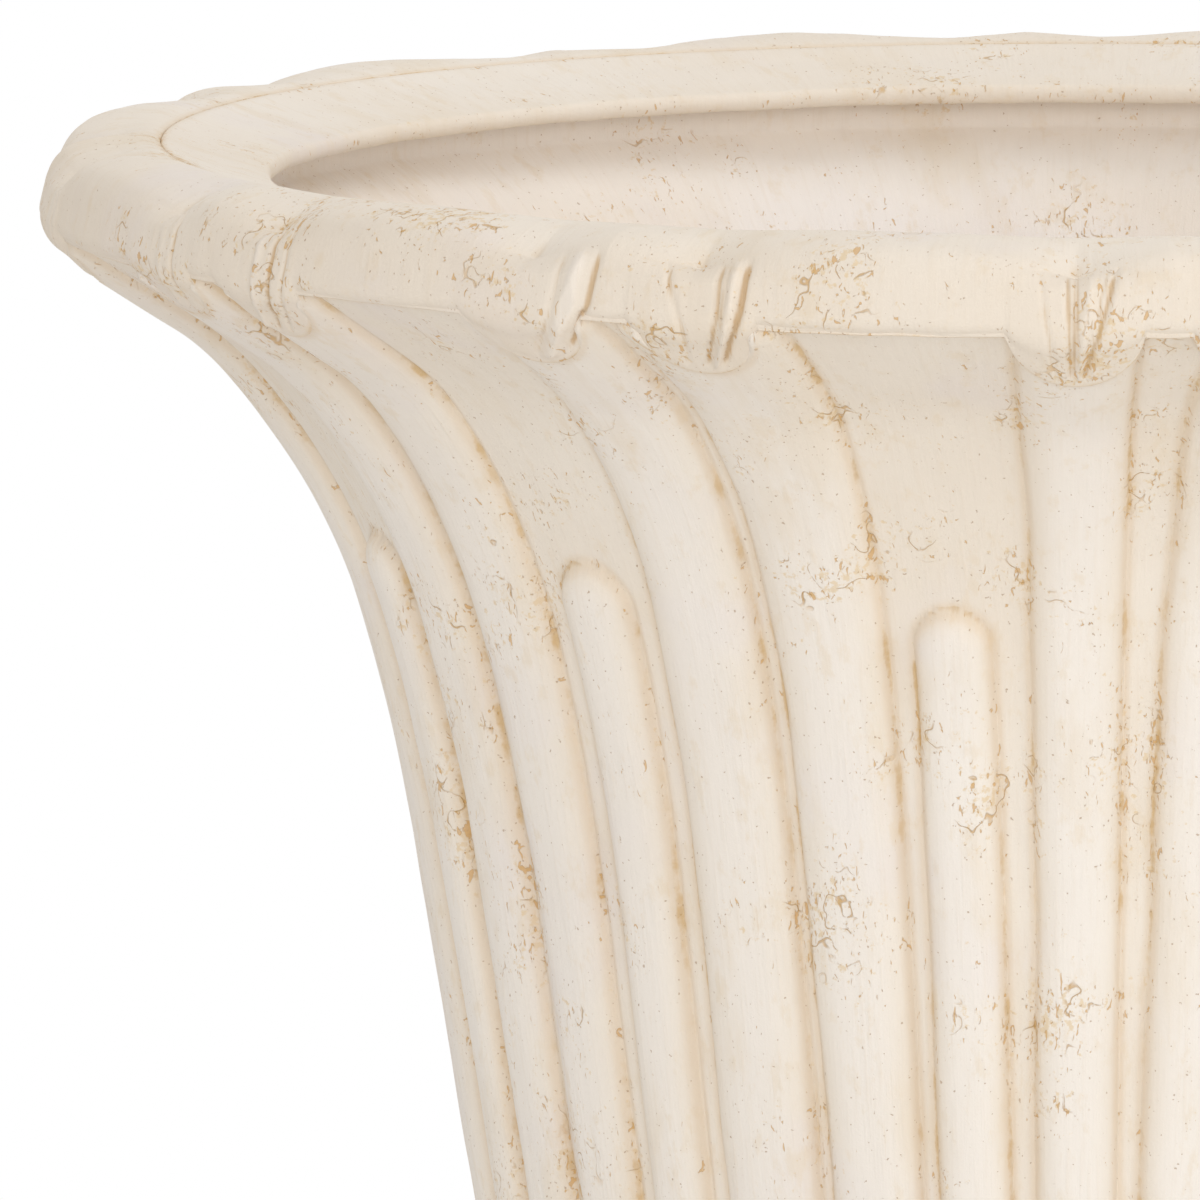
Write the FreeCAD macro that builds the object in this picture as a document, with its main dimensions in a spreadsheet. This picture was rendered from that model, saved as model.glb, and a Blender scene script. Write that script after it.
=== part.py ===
import FreeCAD, Part
import math
import os
import Sketcher

# Ribbed urn planter with a lobed rim.
#
# Frame: the origin is on the floor under the middle of the urn, +Z is up and the viewer
# stands on the -Y side.  Lengths are millimetres and angles are degrees.
#
# The bowl repeats every 30 degrees.  A wide lobe and a narrow lobe of the rim meet at
# radial notches, a long rib runs down from every notch, and a short rib with a round
# top stands in the middle of every wide lobe's panel.

os.makedirs("parts", exist_ok=True)
doc = FreeCAD.newDocument("urn_planter")
sheet = doc.addObject("Spreadsheet::Sheet", "Dims")

SIZES = {
    # overall stack, from the floor up
    "pad_height": 3.0,
    "plinth_height": 27.0,
    "foot_rise": 110.0,
    "gasket_height": 2.0,
    "bowl_height": 418.0,
    # rim: the crown, shoulder, nose and lower bead of the lobes
    "rim_radius": 210.5,
    "seam_radius": 186.0,
    "seam_drop": 2.5,
    "crown_radius": 26.0,
    "crown_turn": 15.0,
    "shoulder_radius": 5.0,
    "nose_heading": 82.0,
    "nose_length": 14.5,
    "bead_radius": 3.0,
    "lobe_step": 4.6,
    # flank of the bowl: slopes are measured from the vertical
    "lip_slope": 58.0,
    "lip_run": 25.7,
    "throat_radius": 53.0,
    "throat_slope": 40.7,
    "shoulder_sweep": 132.0,
    "shoulder_slope": 17.5,
    "waist_sweep": 393.0,
    "flank_slope": 9.4,
    "wall": 15.0,
    # lower end of the bowl, heights from its joint face
    "belly_rise": 60.0,
    "belly_bead": 7.0,
    "belly_bead_fullness": 1.15,
    "belly_radius": 44.0,
    "stem_radius": 50.0,
    "stem_ring_radius": 57.0,
    "stem_ring_height": 11.0,
    # ribs, notches and their repeat
    "repeats": 12,
    "rib_width": 16.0,
    "rib_relief": 3.6,
    "short_rib_slope": 24.0,
    "rib_overlap": 1.0,
    "notch_radius": 4.0,
    "notch_depth": 3.0,
    # collar ring round the mouth
    "collar_seat": 9.0,
    "collar_mouth": 163.0,
    "collar_slope": 16.0,
    "collar_nose": 2.5,
    "collar_ledge": 8.0,
    "fit_gap": 0.3,
    # pedestal foot
    "plinth_side": 276.0,
    "plinth_edge": 4.0,
    "torus_radius": 132.0,
    "torus_bead": 9.0,
    "scotia_sweep": 64.0,
    "neck_bead": 7.0,
    "foot_bead_fullness": 1.05,
    "neck_bead_seat": 53.0,
    "neck_top": 8.0,
    "foot_repeats": 12,
    "foot_rib_radius": 5.0,
    "foot_rib_relief": 2.6,
    "foot_wall": 13.0,
    "hollow_radius": 112.0,
    "joint_thickness": 36.0,
    # tie bolt, washers and nut
    "bolt_radius": 5.0,
    "bolt_clearance": 0.5,
    "bolt_head_width": 17.0,
    "bolt_head_height": 6.4,
    "bolt_tail": 8.0,
    "seal_radius": 15.0,
    "seal_height": 3.0,
    "washer_radius": 14.0,
    "washer_height": 2.0,
    "nut_radius": 9.0,
    "nut_height": 10.0,
    "wing_reach": 24.0,
    "wing_height": 16.0,
    "wing_thickness": 4.0,
    # drain holes and their plugs
    "drain_count": 3,
    "drain_circle": 26.5,
    "drain_radius": 7.5,
    "plug_clearance": 0.4,
    "plug_flange": 11.0,
    "plug_flange_height": 3.0,
    "plug_length": 22.0,
    "plug_knob": 4.0,
    "plug_knob_height": 12.0,
    "plug_lift": 0.3,
    # pads under the plinth
    "pad_radius": 17.0,
    "pad_inset": 26.0,
}


# ---------------------------------------------------------------- sizes with formulas
class Size:
    """A number together with the sheet formula that gives it."""

    def __init__(self, value, formula):
        self.value = value
        self.formula = formula

    def __add__(self, other):
        return Size(self.value + number(other), f"({self.formula} + {text(other)})")

    def __sub__(self, other):
        return Size(self.value - number(other), f"({self.formula} - {text(other)})")

    def __mul__(self, other):
        return Size(self.value * number(other), f"({self.formula} * {text(other)})")

    def __truediv__(self, other):
        return Size(self.value / number(other), f"({self.formula} / {text(other)})")

    def __neg__(self):
        return Size(-self.value, f"(-{self.formula})")


def number(amount):
    return amount.value if isinstance(amount, Size) else amount


def text(amount):
    return amount.formula if isinstance(amount, Size) else repr(amount)


def sine(angle):
    return Size(math.sin(math.radians(number(angle))), f"sin({text(angle)})")


def cosine(angle):
    return Size(math.cos(math.radians(number(angle))), f"cos({text(angle)})")


def root(amount):
    return Size(math.sqrt(number(amount)), f"sqrt({text(amount)})")


for row, (alias, value) in enumerate(SIZES.items(), start=1):
    sheet.set(f"A{row}", alias)
    sheet.set(f"B{row}", str(value))
    sheet.setAlias(f"B{row}", alias)
doc.recompute()


def size(alias):
    return Size(float(sheet.get(alias)), f"Dims.{alias}")


# ---------------------------------------------------------------- outlines
class Outline:
    """A run of lines and arcs, drawn as a pen moves.

    Headings are degrees: 0 points away from the axis, 90 down, 180 to the axis, 270 up.
    """

    def __init__(self, across, up, heading=Size(0.0, "0")):
        self.across = across
        self.up = up
        self.heading = heading
        self.corners = [(across, up)]
        self.arcs = {}

    def to(self, across, up):
        self.across = across
        self.up = up
        self.corners.append((across, up))
        return self

    def forward(self, length):
        across = self.across + length * cosine(self.heading)
        up = self.up - length * sine(self.heading)
        return self.to(across, up)

    def turn(self, radius, heading):
        """Follow an arc that leaves in the new heading, to the right where it grows."""
        side = 1 if number(heading) > number(self.heading) else -1
        across = self.across + (sine(heading) - sine(self.heading)) * radius * side
        up = self.up + (cosine(heading) - cosine(self.heading)) * radius * side
        return self.bend(across, up, radius, heading, side)

    def bend(self, across, up, radius, heading, side):
        """Follow an arc of this radius to a place, curving right (1) or left (-1)."""
        self.arcs[len(self.corners) - 1] = (radius, side)
        self.heading = heading
        return self.to(across, up)


def arc_between(start, end, radius, side):
    """The arc under half a turn from start to end that curves right (1) or left (-1)."""
    chord = end - start
    middle = (start + end) * 0.5
    right = FreeCAD.Vector(chord.y, -chord.x, 0).normalize()
    depth = math.sqrt(max(radius * radius - chord.Length ** 2 / 4, 0.0))
    centre = middle + right * depth * side
    first, last = (end, start) if side > 0 else (start, end)
    angle_first = math.atan2(first.y - centre.y, first.x - centre.x)
    angle_last = math.atan2(last.y - centre.y, last.x - centre.x)
    circle = Part.Circle(centre, FreeCAD.Vector(0, 0, 1), radius)
    return Part.ArcOfCircle(circle, angle_first, angle_last)


def bind(sketch, kind, places, size_of):
    """Add a dimension to a sketch and tie it to its sheet formula."""
    index = sketch.addConstraint(Sketcher.Constraint(kind, *places, number(size_of)))
    sketch.setExpression(f"Constraints[{index}]", text(size_of))


def pin(sketch, edge, end, corner):
    bind(sketch, "DistanceX", (edge, end), corner[0])
    bind(sketch, "DistanceY", (edge, end), corner[1])


def draw(sketch, outline, closed=True):
    """Draw an outline, each corner pinned by its formulas and each arc by its radius."""
    corners = outline.corners
    points = [FreeCAD.Vector(number(x), number(y), 0) for x, y in corners]
    count = len(corners) if closed else len(corners) - 1
    ends = []
    for index in range(count):
        start = points[index]
        end = points[(index + 1) % len(points)]
        if index in outline.arcs:
            radius, side = outline.arcs[index]
            edge = sketch.addGeometry(arc_between(start, end, number(radius), side))
            bind(sketch, "Radius", (edge,), radius)
            ends.append((edge, 2, 1) if side > 0 else (edge, 1, 2))
        else:
            edge = sketch.addGeometry(Part.LineSegment(start, end))
            ends.append((edge, 1, 2))
        pin(sketch, edge, ends[index][1], corners[index])
    for (edge, _, last), (following, first, _) in zip(ends, ends[1:]):
        sketch.addConstraint(Sketcher.Constraint("Coincident", edge, last, following, first))
    edge, _, last = ends[-1]
    if closed:
        sketch.addConstraint(Sketcher.Constraint("Coincident", edge, last, ends[0][0], ends[0][1]))
    else:
        pin(sketch, edge, last, corners[-1])


def draw_circle(sketch, across, up, radius):
    centre = FreeCAD.Vector(number(across), number(up), 0)
    edge = sketch.addGeometry(Part.Circle(centre, FreeCAD.Vector(0, 0, 1), number(radius)))
    bind(sketch, "Radius", (edge,), radius)
    pin(sketch, edge, 3, (across, up))


def rounded_square(side, radius):
    """A square about the origin with rounded corners, drawn clockwise from its top left."""
    straight = side - radius * 2
    outline = Outline(-(straight * 0.5), side * 0.5)
    for quarter in range(3):
        outline.forward(straight)
        outline.turn(radius, Size(90.0, "90") * (quarter + 1))
    outline.forward(straight)
    outline.arcs[len(outline.corners) - 1] = (radius, 1)
    return outline


# ---------------------------------------------------------------- bodies and features
SUB_PARTS = []


def new_body(name):
    body = doc.addObject("PartDesign::Body", name)
    body.Label = name
    SUB_PARTS.append(body)
    return body


def origin_feature(body, role):
    return next(item for item in body.Origin.OriginFeatures if item.Role == role)


def upright_sketch(body, name, turn=None):
    """A sketch of distance from the axis against height, turned about the urn's axis."""
    sketch = body.newObject("Sketcher::SketchObject", name)
    sketch.AttachmentSupport = [(origin_feature(body, "XZ_Plane"), "")]
    sketch.MapMode = "FlatFace"
    if turn is not None:
        axis = FreeCAD.Vector(0, 1, 0)
        sketch.AttachmentOffset = FreeCAD.Placement(
            FreeCAD.Vector(), FreeCAD.Rotation(axis, number(turn)))
        sketch.setExpression("AttachmentOffset.Rotation.Angle", text(turn))
    return sketch


def level_sketch(body, name, height):
    """A sketch seen from above, at a height over the floor."""
    sketch = body.newObject("Sketcher::SketchObject", name)
    sketch.AttachmentSupport = [(origin_feature(body, "XY_Plane"), "")]
    sketch.MapMode = "FlatFace"
    sketch.setExpression("AttachmentOffset.Base.z", text(height))
    return sketch


def spin(body, name, sketch, kind="PartDesign::Revolution", angle=None):
    feature = body.newObject(kind, name)
    feature.Profile = sketch
    feature.ReferenceAxis = (origin_feature(body, "Z_Axis"), [""])
    feature.Angle = 360
    if angle is not None:
        feature.Midplane = True
        feature.Angle = number(angle)
        feature.setExpression("Angle", text(angle))
    return feature


def raise_up(body, name, sketch, height, kind="PartDesign::Pad", down=False):
    feature = body.newObject(kind, name)
    feature.Profile = sketch
    feature.Length = number(height)
    feature.setExpression("Length", text(height))
    feature.Reversed = down
    return feature


def repeat(body, name, count):
    """Copies of the whole sector, side by side round the axis."""
    doc.recompute()
    feature = body.newObject("PartDesign::PolarPattern", name)
    feature.TransformMode = "Whole shape"
    feature.Axis = (origin_feature(body, "Z_Axis"), [""])
    feature.Angle = 360
    feature.Occurrences = int(number(count))
    feature.setExpression("Occurrences", text(count))
    body.Tip = feature
    return feature


def swept_round(body, name, path, radius, kind="PartDesign::AdditivePipe"):
    """A round section of this radius carried along a path sketch."""
    section = body.newObject("Sketcher::SketchObject", name + "_section")
    section.AttachmentSupport = [(path, "Edge1"), (path, "Vertex1")]
    section.MapMode = "NormalToEdge"
    edge = section.addGeometry(Part.Circle(FreeCAD.Vector(), FreeCAD.Vector(0, 0, 1), number(radius)))
    section.addConstraint(Sketcher.Constraint("Coincident", edge, 3, -1, 1))
    bind(section, "Radius", (edge,), radius)
    doc.recompute()
    pipe = body.newObject(kind, name)
    pipe.Profile = section
    pipe.Spine = (path, [f"Edge{step + 1}" for step in range(path.GeometryCount)])
    return pipe


# ---------------------------------------------------------------- driving dimensions
plinth_top = size("pad_height") + size("plinth_height")
joint_height = plinth_top + size("foot_rise")
bowl_base = joint_height + size("gasket_height")
rim_height = bowl_base + size("bowl_height")
belly_height = bowl_base + size("belly_rise")
seam_height = rim_height - size("seam_drop")
collar_seat_height = seam_height - size("collar_seat")
ledge_radius = size("seam_radius") - size("collar_ledge")
rebate_radius = size("seam_radius") + size("fit_gap")
hollow_ceiling = joint_height - size("joint_thickness")

bolt_hole = size("bolt_radius") + size("bolt_clearance")
zero = Size(0.0, "0")
full_turn = Size(360.0, "360")
sector = full_turn / size("repeats")
rib_spacing = sector * (1 / 3)
front = Size(-90.0, "-90")
sector_turn = front - rib_spacing * 0.5

down = Size(90.0, "90")
inward = Size(180.0, "180")
outward = zero
lip_heading = down + size("lip_slope")
flank_heading = down + size("flank_slope")

rib_half = size("rib_width") * 0.5
rib_relief = size("rib_relief")
rib_radius = (rib_half * rib_half + rib_relief * rib_relief) / (rib_relief * 2)
rib_sink = rib_radius - rib_relief

# crest of the rim: the widest place is the lower bead of the lobes
crest_radius = (
    size("rim_radius")
    - size("bead_radius") * (-sine(size("nose_heading")) + 1)
    - size("nose_length") * cosine(size("nose_heading"))
    - size("shoulder_radius") * (sine(size("nose_heading")) - sine(size("crown_turn")))
    - size("crown_radius") * sine(size("crown_turn")))
crest_run = crest_radius - size("seam_radius")
inner_crown = (crest_run * crest_run + size("seam_drop") * size("seam_drop")) / (size("seam_drop") * 2)


# ---------------------------------------------------------------- outlines of the bowl
def crown(outline, offset):
    """The top of a lobe, from its crest to the lower end of its nose."""
    outline.turn(size("crown_radius") + offset, size("crown_turn"))
    outline.turn(size("shoulder_radius") + offset, size("nose_heading"))
    return outline.forward(size("nose_length"))


def panel_start():
    """Where the panel leaves the underside of the lobes."""
    lobe = crown(Outline(crest_radius, rim_height), 0)
    lobe.turn(size("bead_radius"), inward + size("lip_slope"))
    return lobe.forward(size("lobe_step") - size("bead_radius"))


def flank(inset, overlap):
    """The bowl's flank at this depth under the panel, begun a little inside the lobes."""
    start = panel_start()
    across = start.across - sine(down - size("lip_slope")) * inset + sine(size("lip_slope")) * overlap
    up = start.up + sine(size("lip_slope")) * inset + cosine(size("lip_slope")) * overlap
    return Outline(across, up, lip_heading)


def throat(outline, inset, run):
    """The straight lip, the tight throat and the long hollow curve below it."""
    outline.forward(run)
    outline.turn(size("throat_radius") + inset, down + size("throat_slope"))
    return outline


def waist(outline, inset, end_height):
    outline.turn(size("shoulder_sweep") + inset, down + size("shoulder_slope"))
    outline.turn(size("waist_sweep") + inset, flank_heading)
    return outline.forward((outline.up - end_height) / sine(flank_heading))


def bowl_outline():
    """The solid bowl before it is hollowed."""
    outline = Outline(rebate_radius, seam_height)
    outline.bend(crest_radius, rim_height, inner_crown, outward, 1)
    crown(outline, 0)
    outline.turn(size("bead_radius"), inward + size("lip_slope"))
    outline.forward(size("lobe_step") - size("bead_radius"))
    outline.heading = lip_heading
    throat(outline, 0, size("lip_run"))
    waist(outline, 0, belly_height + size("belly_bead"))
    bead_drop = size("belly_bead") * 2
    inset = bead_drop * sine(size("flank_slope")) / cosine(size("flank_slope"))
    bead_radius = size("belly_bead") * size("belly_bead_fullness")
    outline.bend(outline.across - inset, outline.up - bead_drop, bead_radius, flank_heading, 1)
    outline.turn(size("belly_radius"), inward)
    ring_top = bowl_base + size("stem_ring_height")
    outline.to(size("stem_radius"), outline.up)
    outline.to(size("stem_radius"), ring_top)
    outline.to(size("stem_ring_radius"), ring_top)
    outline.to(size("stem_ring_radius"), bowl_base)
    outline.to(bolt_hole, bowl_base)
    outline.to(bolt_hole, collar_seat_height)
    outline.to(rebate_radius, collar_seat_height)
    return outline


def cavity_outline():
    """The rebate that takes the collar and the hollow under it, one wall inside the panel."""
    wall = size("wall")
    start = flank(wall, zero)
    skipped = (start.across - ledge_radius) / sine(size("lip_slope"))
    outline = Outline(zero, rim_height)
    outline.to(rebate_radius, rim_height)
    outline.to(rebate_radius, collar_seat_height)
    outline.to(ledge_radius, collar_seat_height)
    outline.to(ledge_radius, start.up - skipped * cosine(size("lip_slope")))
    outline.heading = lip_heading
    throat(outline, wall, size("lip_run") - skipped)
    waist(outline, wall, belly_height)
    outline.turn(size("belly_radius") - wall, inward)
    return outline.to(zero, outline.up)


floor_height = cavity_outline().up


# ---------------------------------------------------------------- bowl
def build_bowl():
    body = new_body("bowl_shell")
    solid = upright_sketch(body, "bowl_outline", sector_turn)
    draw(solid, bowl_outline())
    spin(body, "bowl_sector", solid, angle=sector)

    long_path = flank(rib_sink, size("rib_overlap"))
    throat(long_path, rib_sink, size("lip_run") + size("rib_overlap"))
    waist(long_path, rib_sink, belly_height)
    for index in range(2):
        turn = sector_turn + rib_spacing * index
        path = upright_sketch(body, f"long_rib_path_{index}", turn)
        draw(path, long_path, closed=False)
        swept_round(body, f"long_rib_{index}", path, rib_radius)

    guide = flank(rib_sink, zero)
    throat(guide, rib_sink, size("lip_run"))
    guide.turn(size("shoulder_sweep") + rib_sink, down + size("short_rib_slope"))
    short_path = Outline(guide.across, guide.up, guide.heading)
    waist(short_path, rib_sink, belly_height)
    short_turn = sector_turn - rib_spacing
    path = upright_sketch(body, "short_rib_path", short_turn)
    draw(path, short_path, closed=False)
    swept_round(body, "short_rib", path, rib_radius)
    round_top(body, "short_rib_top", short_turn, guide)

    offset = size("notch_radius") - size("notch_depth")
    centre = rim_height - inner_crown
    offset_crown = inner_crown + offset
    lift = root(offset_crown * offset_crown - crest_run * crest_run)
    notch_path = Outline(size("seam_radius"), centre + lift)
    notch_path.bend(crest_radius, rim_height + offset, offset_crown, outward, 1)
    crown(notch_path, offset)
    notch_path.forward(size("bead_radius"))
    for index in range(2):
        path = upright_sketch(body, f"notch_path_{index}", sector_turn + rib_spacing * index)
        draw(path, notch_path, closed=False)
        swept_round(body, f"notch_{index}", path, size("notch_radius"), "PartDesign::SubtractivePipe")

    repeat(body, "all_round", size("repeats"))
    cavity = upright_sketch(body, "cavity_outline")
    draw(cavity, cavity_outline())
    body.Tip = spin(body, "cavity", cavity, "PartDesign::Groove")
    drill_drains(body, bowl_base, floor_height - bowl_base)


def round_top(body, name, turn, place):
    """A ball on the end of a rib's path."""
    ball = body.newObject("PartDesign::AdditiveSphere", name)
    ball.Radius = number(rib_radius)
    ball.setExpression("Radius", text(rib_radius))
    ball.AttachmentSupport = [(origin_feature(body, "XY_Plane"), "")]
    ball.MapMode = "FlatFace"
    ball.setExpression("AttachmentOffset.Base.x", text(place.across * cosine(turn)))
    ball.setExpression("AttachmentOffset.Base.y", text(place.across * sine(turn)))
    ball.setExpression("AttachmentOffset.Base.z", text(place.up))


def drill_drains(body, height, depth):
    """The ring of drain holes through a piece, from its lower face up."""
    holes = level_sketch(body, body.Label + "_drains", height)
    for index in range(int(number(size("drain_count")))):
        angle = drain_angle(index)
        circle = size("drain_circle")
        draw_circle(holes, circle * cosine(angle), circle * sine(angle), size("drain_radius"))
    cut = raise_up(body, body.Label + "_drain_cut", holes, depth, "PartDesign::Pocket", down=True)
    body.Tip = cut


def drain_angle(index):
    return full_turn / size("drain_count") * index + 90


# ---------------------------------------------------------------- collar
def build_collar():
    body = new_body("rim_collar")
    nose = size("collar_nose")
    slope = size("collar_slope")
    nose_start = size("collar_mouth") + nose * (-sine(slope) + 1)
    outline = Outline(size("seam_radius"), seam_height, inward - slope)
    outline.forward((size("seam_radius") - nose_start) / cosine(slope))
    outline.turn(nose, down)
    outline.turn(nose, outward)
    spigot_radius = ledge_radius - size("fit_gap")
    outline.to(spigot_radius, outline.up)
    outline.to(spigot_radius, collar_seat_height)
    outline.to(size("seam_radius"), collar_seat_height)
    sketch = upright_sketch(body, "collar_outline")
    draw(sketch, outline)
    body.Tip = spin(body, "collar_ring", sketch)


# ---------------------------------------------------------------- pedestal foot
def build_foot():
    body = new_body("pedestal_foot")
    neck_height = joint_height - size("neck_top") - size("neck_bead") * 2
    torus_top = plinth_top + size("torus_bead") * 2
    torus_seat = size("torus_radius") - size("torus_bead")
    outline = Outline(bolt_hole, joint_height)
    outline.to(size("stem_ring_radius"), joint_height)
    outline.to(size("stem_ring_radius"), joint_height - size("neck_top"))
    outline.to(size("neck_bead_seat"), outline.up)
    neck_bead_radius = size("neck_bead") * size("foot_bead_fullness")
    outline.bend(size("neck_bead_seat"), neck_height, neck_bead_radius, inward, 1)
    outline.to(size("stem_radius"), neck_height)
    outline.heading = down
    outline.turn(size("scotia_sweep"), outward)
    outline.to(torus_seat, outline.up)
    outline.to(torus_seat, torus_top)
    outline.bend(torus_seat, plinth_top, size("torus_bead") * size("foot_bead_fullness"), inward, 1)
    outline.to(bolt_hole, plinth_top)
    foot_sector = full_turn / size("foot_repeats")
    sketch = upright_sketch(body, "foot_outline", front)
    draw(sketch, outline)
    spin(body, "foot_sector", sketch, angle=foot_sector)

    sink = size("foot_rib_radius") - size("foot_rib_relief")
    rib = Outline(size("stem_radius") - sink, neck_height + size("rib_overlap"), down)
    rib.forward(size("rib_overlap"))
    rib.turn(size("scotia_sweep") + sink, outward)
    half_spacing = foot_sector / 4
    for side in (1, -1):
        path = upright_sketch(body, f"foot_rib_path_{side + 1}", front + half_spacing * side)
        draw(path, rib, closed=False)
        swept_round(body, f"foot_rib_{side + 1}", path, size("foot_rib_radius"))
    repeat(body, "foot_all_round", size("foot_repeats"))

    square = level_sketch(body, "plinth_outline", size("pad_height"))
    draw(square, rounded_square(size("plinth_side"), size("plinth_edge")))
    raise_up(body, "plinth", square, size("plinth_height"))

    hollow_sweep = size("scotia_sweep") + size("foot_wall")
    centre_across = size("stem_radius") + size("scotia_sweep")
    skirt = centre_across - size("hollow_radius")
    top_drop = neck_height - hollow_ceiling
    hollow = Outline(zero, size("pad_height"))
    hollow.to(size("hollow_radius"), size("pad_height"))
    hollow.to(size("hollow_radius"), neck_height - root(hollow_sweep * hollow_sweep - skirt * skirt))
    hollow.bend(
        centre_across - root(hollow_sweep * hollow_sweep - top_drop * top_drop), hollow_ceiling,
        hollow_sweep, down, 1)
    hollow.to(zero, hollow_ceiling)
    sketch = upright_sketch(body, "foot_hollow_outline")
    draw(sketch, hollow)
    body.Tip = spin(body, "foot_hollow", sketch, "PartDesign::Groove")
    drill_drains(body, hollow_ceiling, size("joint_thickness"))


def build_gasket():
    body = new_body("joint_gasket")
    sketch = level_sketch(body, "gasket_outline", joint_height)
    draw_circle(sketch, zero, zero, size("stem_ring_radius"))
    draw_circle(sketch, zero, zero, bolt_hole)
    body.Tip = raise_up(body, "gasket_ring", sketch, size("gasket_height"))
    drill_drains(body, joint_height, size("gasket_height"))


# ---------------------------------------------------------------- tie bolt and nut
seal_top = floor_height + size("seal_height")
washer_top = seal_top + size("washer_height")
lower_washer_base = hollow_ceiling - size("washer_height")
nut_base = lower_washer_base - size("nut_height")


def build_ring(name, base, height, outer):
    body = new_body(name)
    ring = Outline(bolt_hole, base).to(outer, base).to(outer, base + height).to(bolt_hole, base + height)
    sketch = upright_sketch(body, name + "_outline")
    draw(sketch, ring)
    body.Tip = spin(body, name + "_ring", sketch)


def build_bolt():
    body = new_body("tie_bolt")
    head = Outline(size("bolt_head_width") / root(3) * cosine(0), size("bolt_head_width") * sine(0))
    corner = size("bolt_head_width") / root(3)
    for index in range(1, 6):
        head.to(corner * cosine(60 * index), corner * sine(60 * index))
    sketch = level_sketch(body, "bolt_head_outline", washer_top)
    draw(sketch, head)
    raise_up(body, "bolt_head", sketch, size("bolt_head_height"))
    shank = level_sketch(body, "bolt_shank_outline", nut_base - size("bolt_tail"))
    draw_circle(shank, zero, zero, size("bolt_radius"))
    length = washer_top - nut_base + size("bolt_tail")
    body.Tip = raise_up(body, "bolt_shank", shank, length)


def build_nut():
    body = new_body("wing_nut")
    hub = Outline(size("bolt_radius"), nut_base)
    hub.to(size("nut_radius"), nut_base).to(size("nut_radius"), lower_washer_base)
    hub.to(size("bolt_radius"), lower_washer_base)
    sketch = upright_sketch(body, "nut_hub_outline")
    draw(sketch, hub)
    spin(body, "nut_hub", sketch)
    inner = (size("bolt_radius") + size("nut_radius")) * 0.5
    wing_end = nut_base + size("nut_height") - size("wing_height")
    for side in (1, -1):
        wing = Outline(inner * side, nut_base + size("wing_thickness"))
        wing.to(size("wing_reach") * side, wing_end + size("wing_thickness"))
        wing.to(size("wing_reach") * side, wing_end)
        wing.to(inner * side, nut_base)
        sketch = upright_sketch(body, f"wing_outline_{side + 1}")
        draw(sketch, wing)
        plate = raise_up(body, f"wing_{side + 1}", sketch, size("wing_thickness"))
        plate.SideType = "Symmetric"
        body.Tip = plate


# ---------------------------------------------------------------- drain plugs and pads
def build_plug(index):
    body = new_body(f"drain_plug_{index + 1}")
    shank = size("drain_radius") - size("plug_clearance")
    flange_base = floor_height + size("plug_lift")
    flange_top = flange_base + size("plug_flange_height")
    outline = Outline(zero, flange_top - size("plug_length"))
    outline.to(shank, outline.up).to(shank, flange_base)
    outline.to(size("plug_flange"), flange_base).to(size("plug_flange"), flange_top)
    outline.to(size("plug_knob"), flange_top)
    outline.to(size("plug_knob"), flange_top + size("plug_knob_height"))
    outline.to(zero, outline.up)
    angle = drain_angle(index)
    sketch = upright_sketch(body, f"plug_outline_{index + 1}")
    sketch.setExpression("AttachmentOffset.Base.x", text(size("drain_circle") * cosine(angle)))
    sketch.setExpression("AttachmentOffset.Base.z", text(-(size("drain_circle") * sine(angle))))
    draw(sketch, outline)
    feature = spin(body, f"plug_{index + 1}", sketch)
    feature.ReferenceAxis = (sketch, ["V_Axis"])
    body.Tip = feature


def build_pads():
    body = new_body("foot_pads")
    sketch = level_sketch(body, "pad_outlines", zero)
    reach = size("plinth_side") * 0.5 - size("pad_inset")
    for across in (reach, -reach):
        for along in (reach, -reach):
            draw_circle(sketch, across, along, size("pad_radius"))
    body.AllowCompound = True
    body.Tip = raise_up(body, "pads", sketch, size("pad_height"))


build_bowl()
build_collar()
build_foot()
build_gasket()
build_ring("bolt_seal", floor_height, size("seal_height"), size("seal_radius"))
build_ring("upper_washer", seal_top, size("washer_height"), size("washer_radius"))
build_ring("lower_washer", lower_washer_base, size("washer_height"), size("washer_radius"))
build_bolt()
build_nut()
for plug in range(int(number(size("drain_count")))):
    build_plug(plug)
build_pads()
doc.recompute()

# ---------------------------------------------------------------- checks and files
for item in doc.Objects:
    if "Invalid" in item.State or "Error" in item.State:
        raise RuntimeError(f"{item.Name} failed: {item.State}")
for body in SUB_PARTS:
    if body.Shape.isNull() or not body.Shape.isValid():
        raise RuntimeError(f"{body.Label} has no valid shape")
    box = body.Shape.optimalBoundingBox()
    print(f"{body.Label}: {len(body.Shape.Solids)} solids, {body.Shape.Volume / 1000:.1f} cm3, "
          f"z {box.ZMin:.2f} to {box.ZMax:.2f}, x {box.XMin:.2f} to {box.XMax:.2f}")
    body.Shape.exportStep(f"parts/{body.Label}.step")
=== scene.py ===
# %% [markdown]
# # Ribbed urn planter
# The object is a cast urn for a shrub or a small tree: a flared bowl with upright ribs and
# a rim of puffy lobes, standing on a ribbed pedestal foot with a square plinth.  It is a
# plaster-like casting painted cream, with ochre showing in every crease.
#
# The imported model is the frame.  It gives the outer sizes and the bodies that the pieces
# ride on.  The hand-made details, such as the places of the ribs and of the notches, and
# the camera's view were measured on the photograph.

# %% Load the frame
import math

import bmesh
import bpy
import numpy as np
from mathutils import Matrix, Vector, noise


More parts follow.
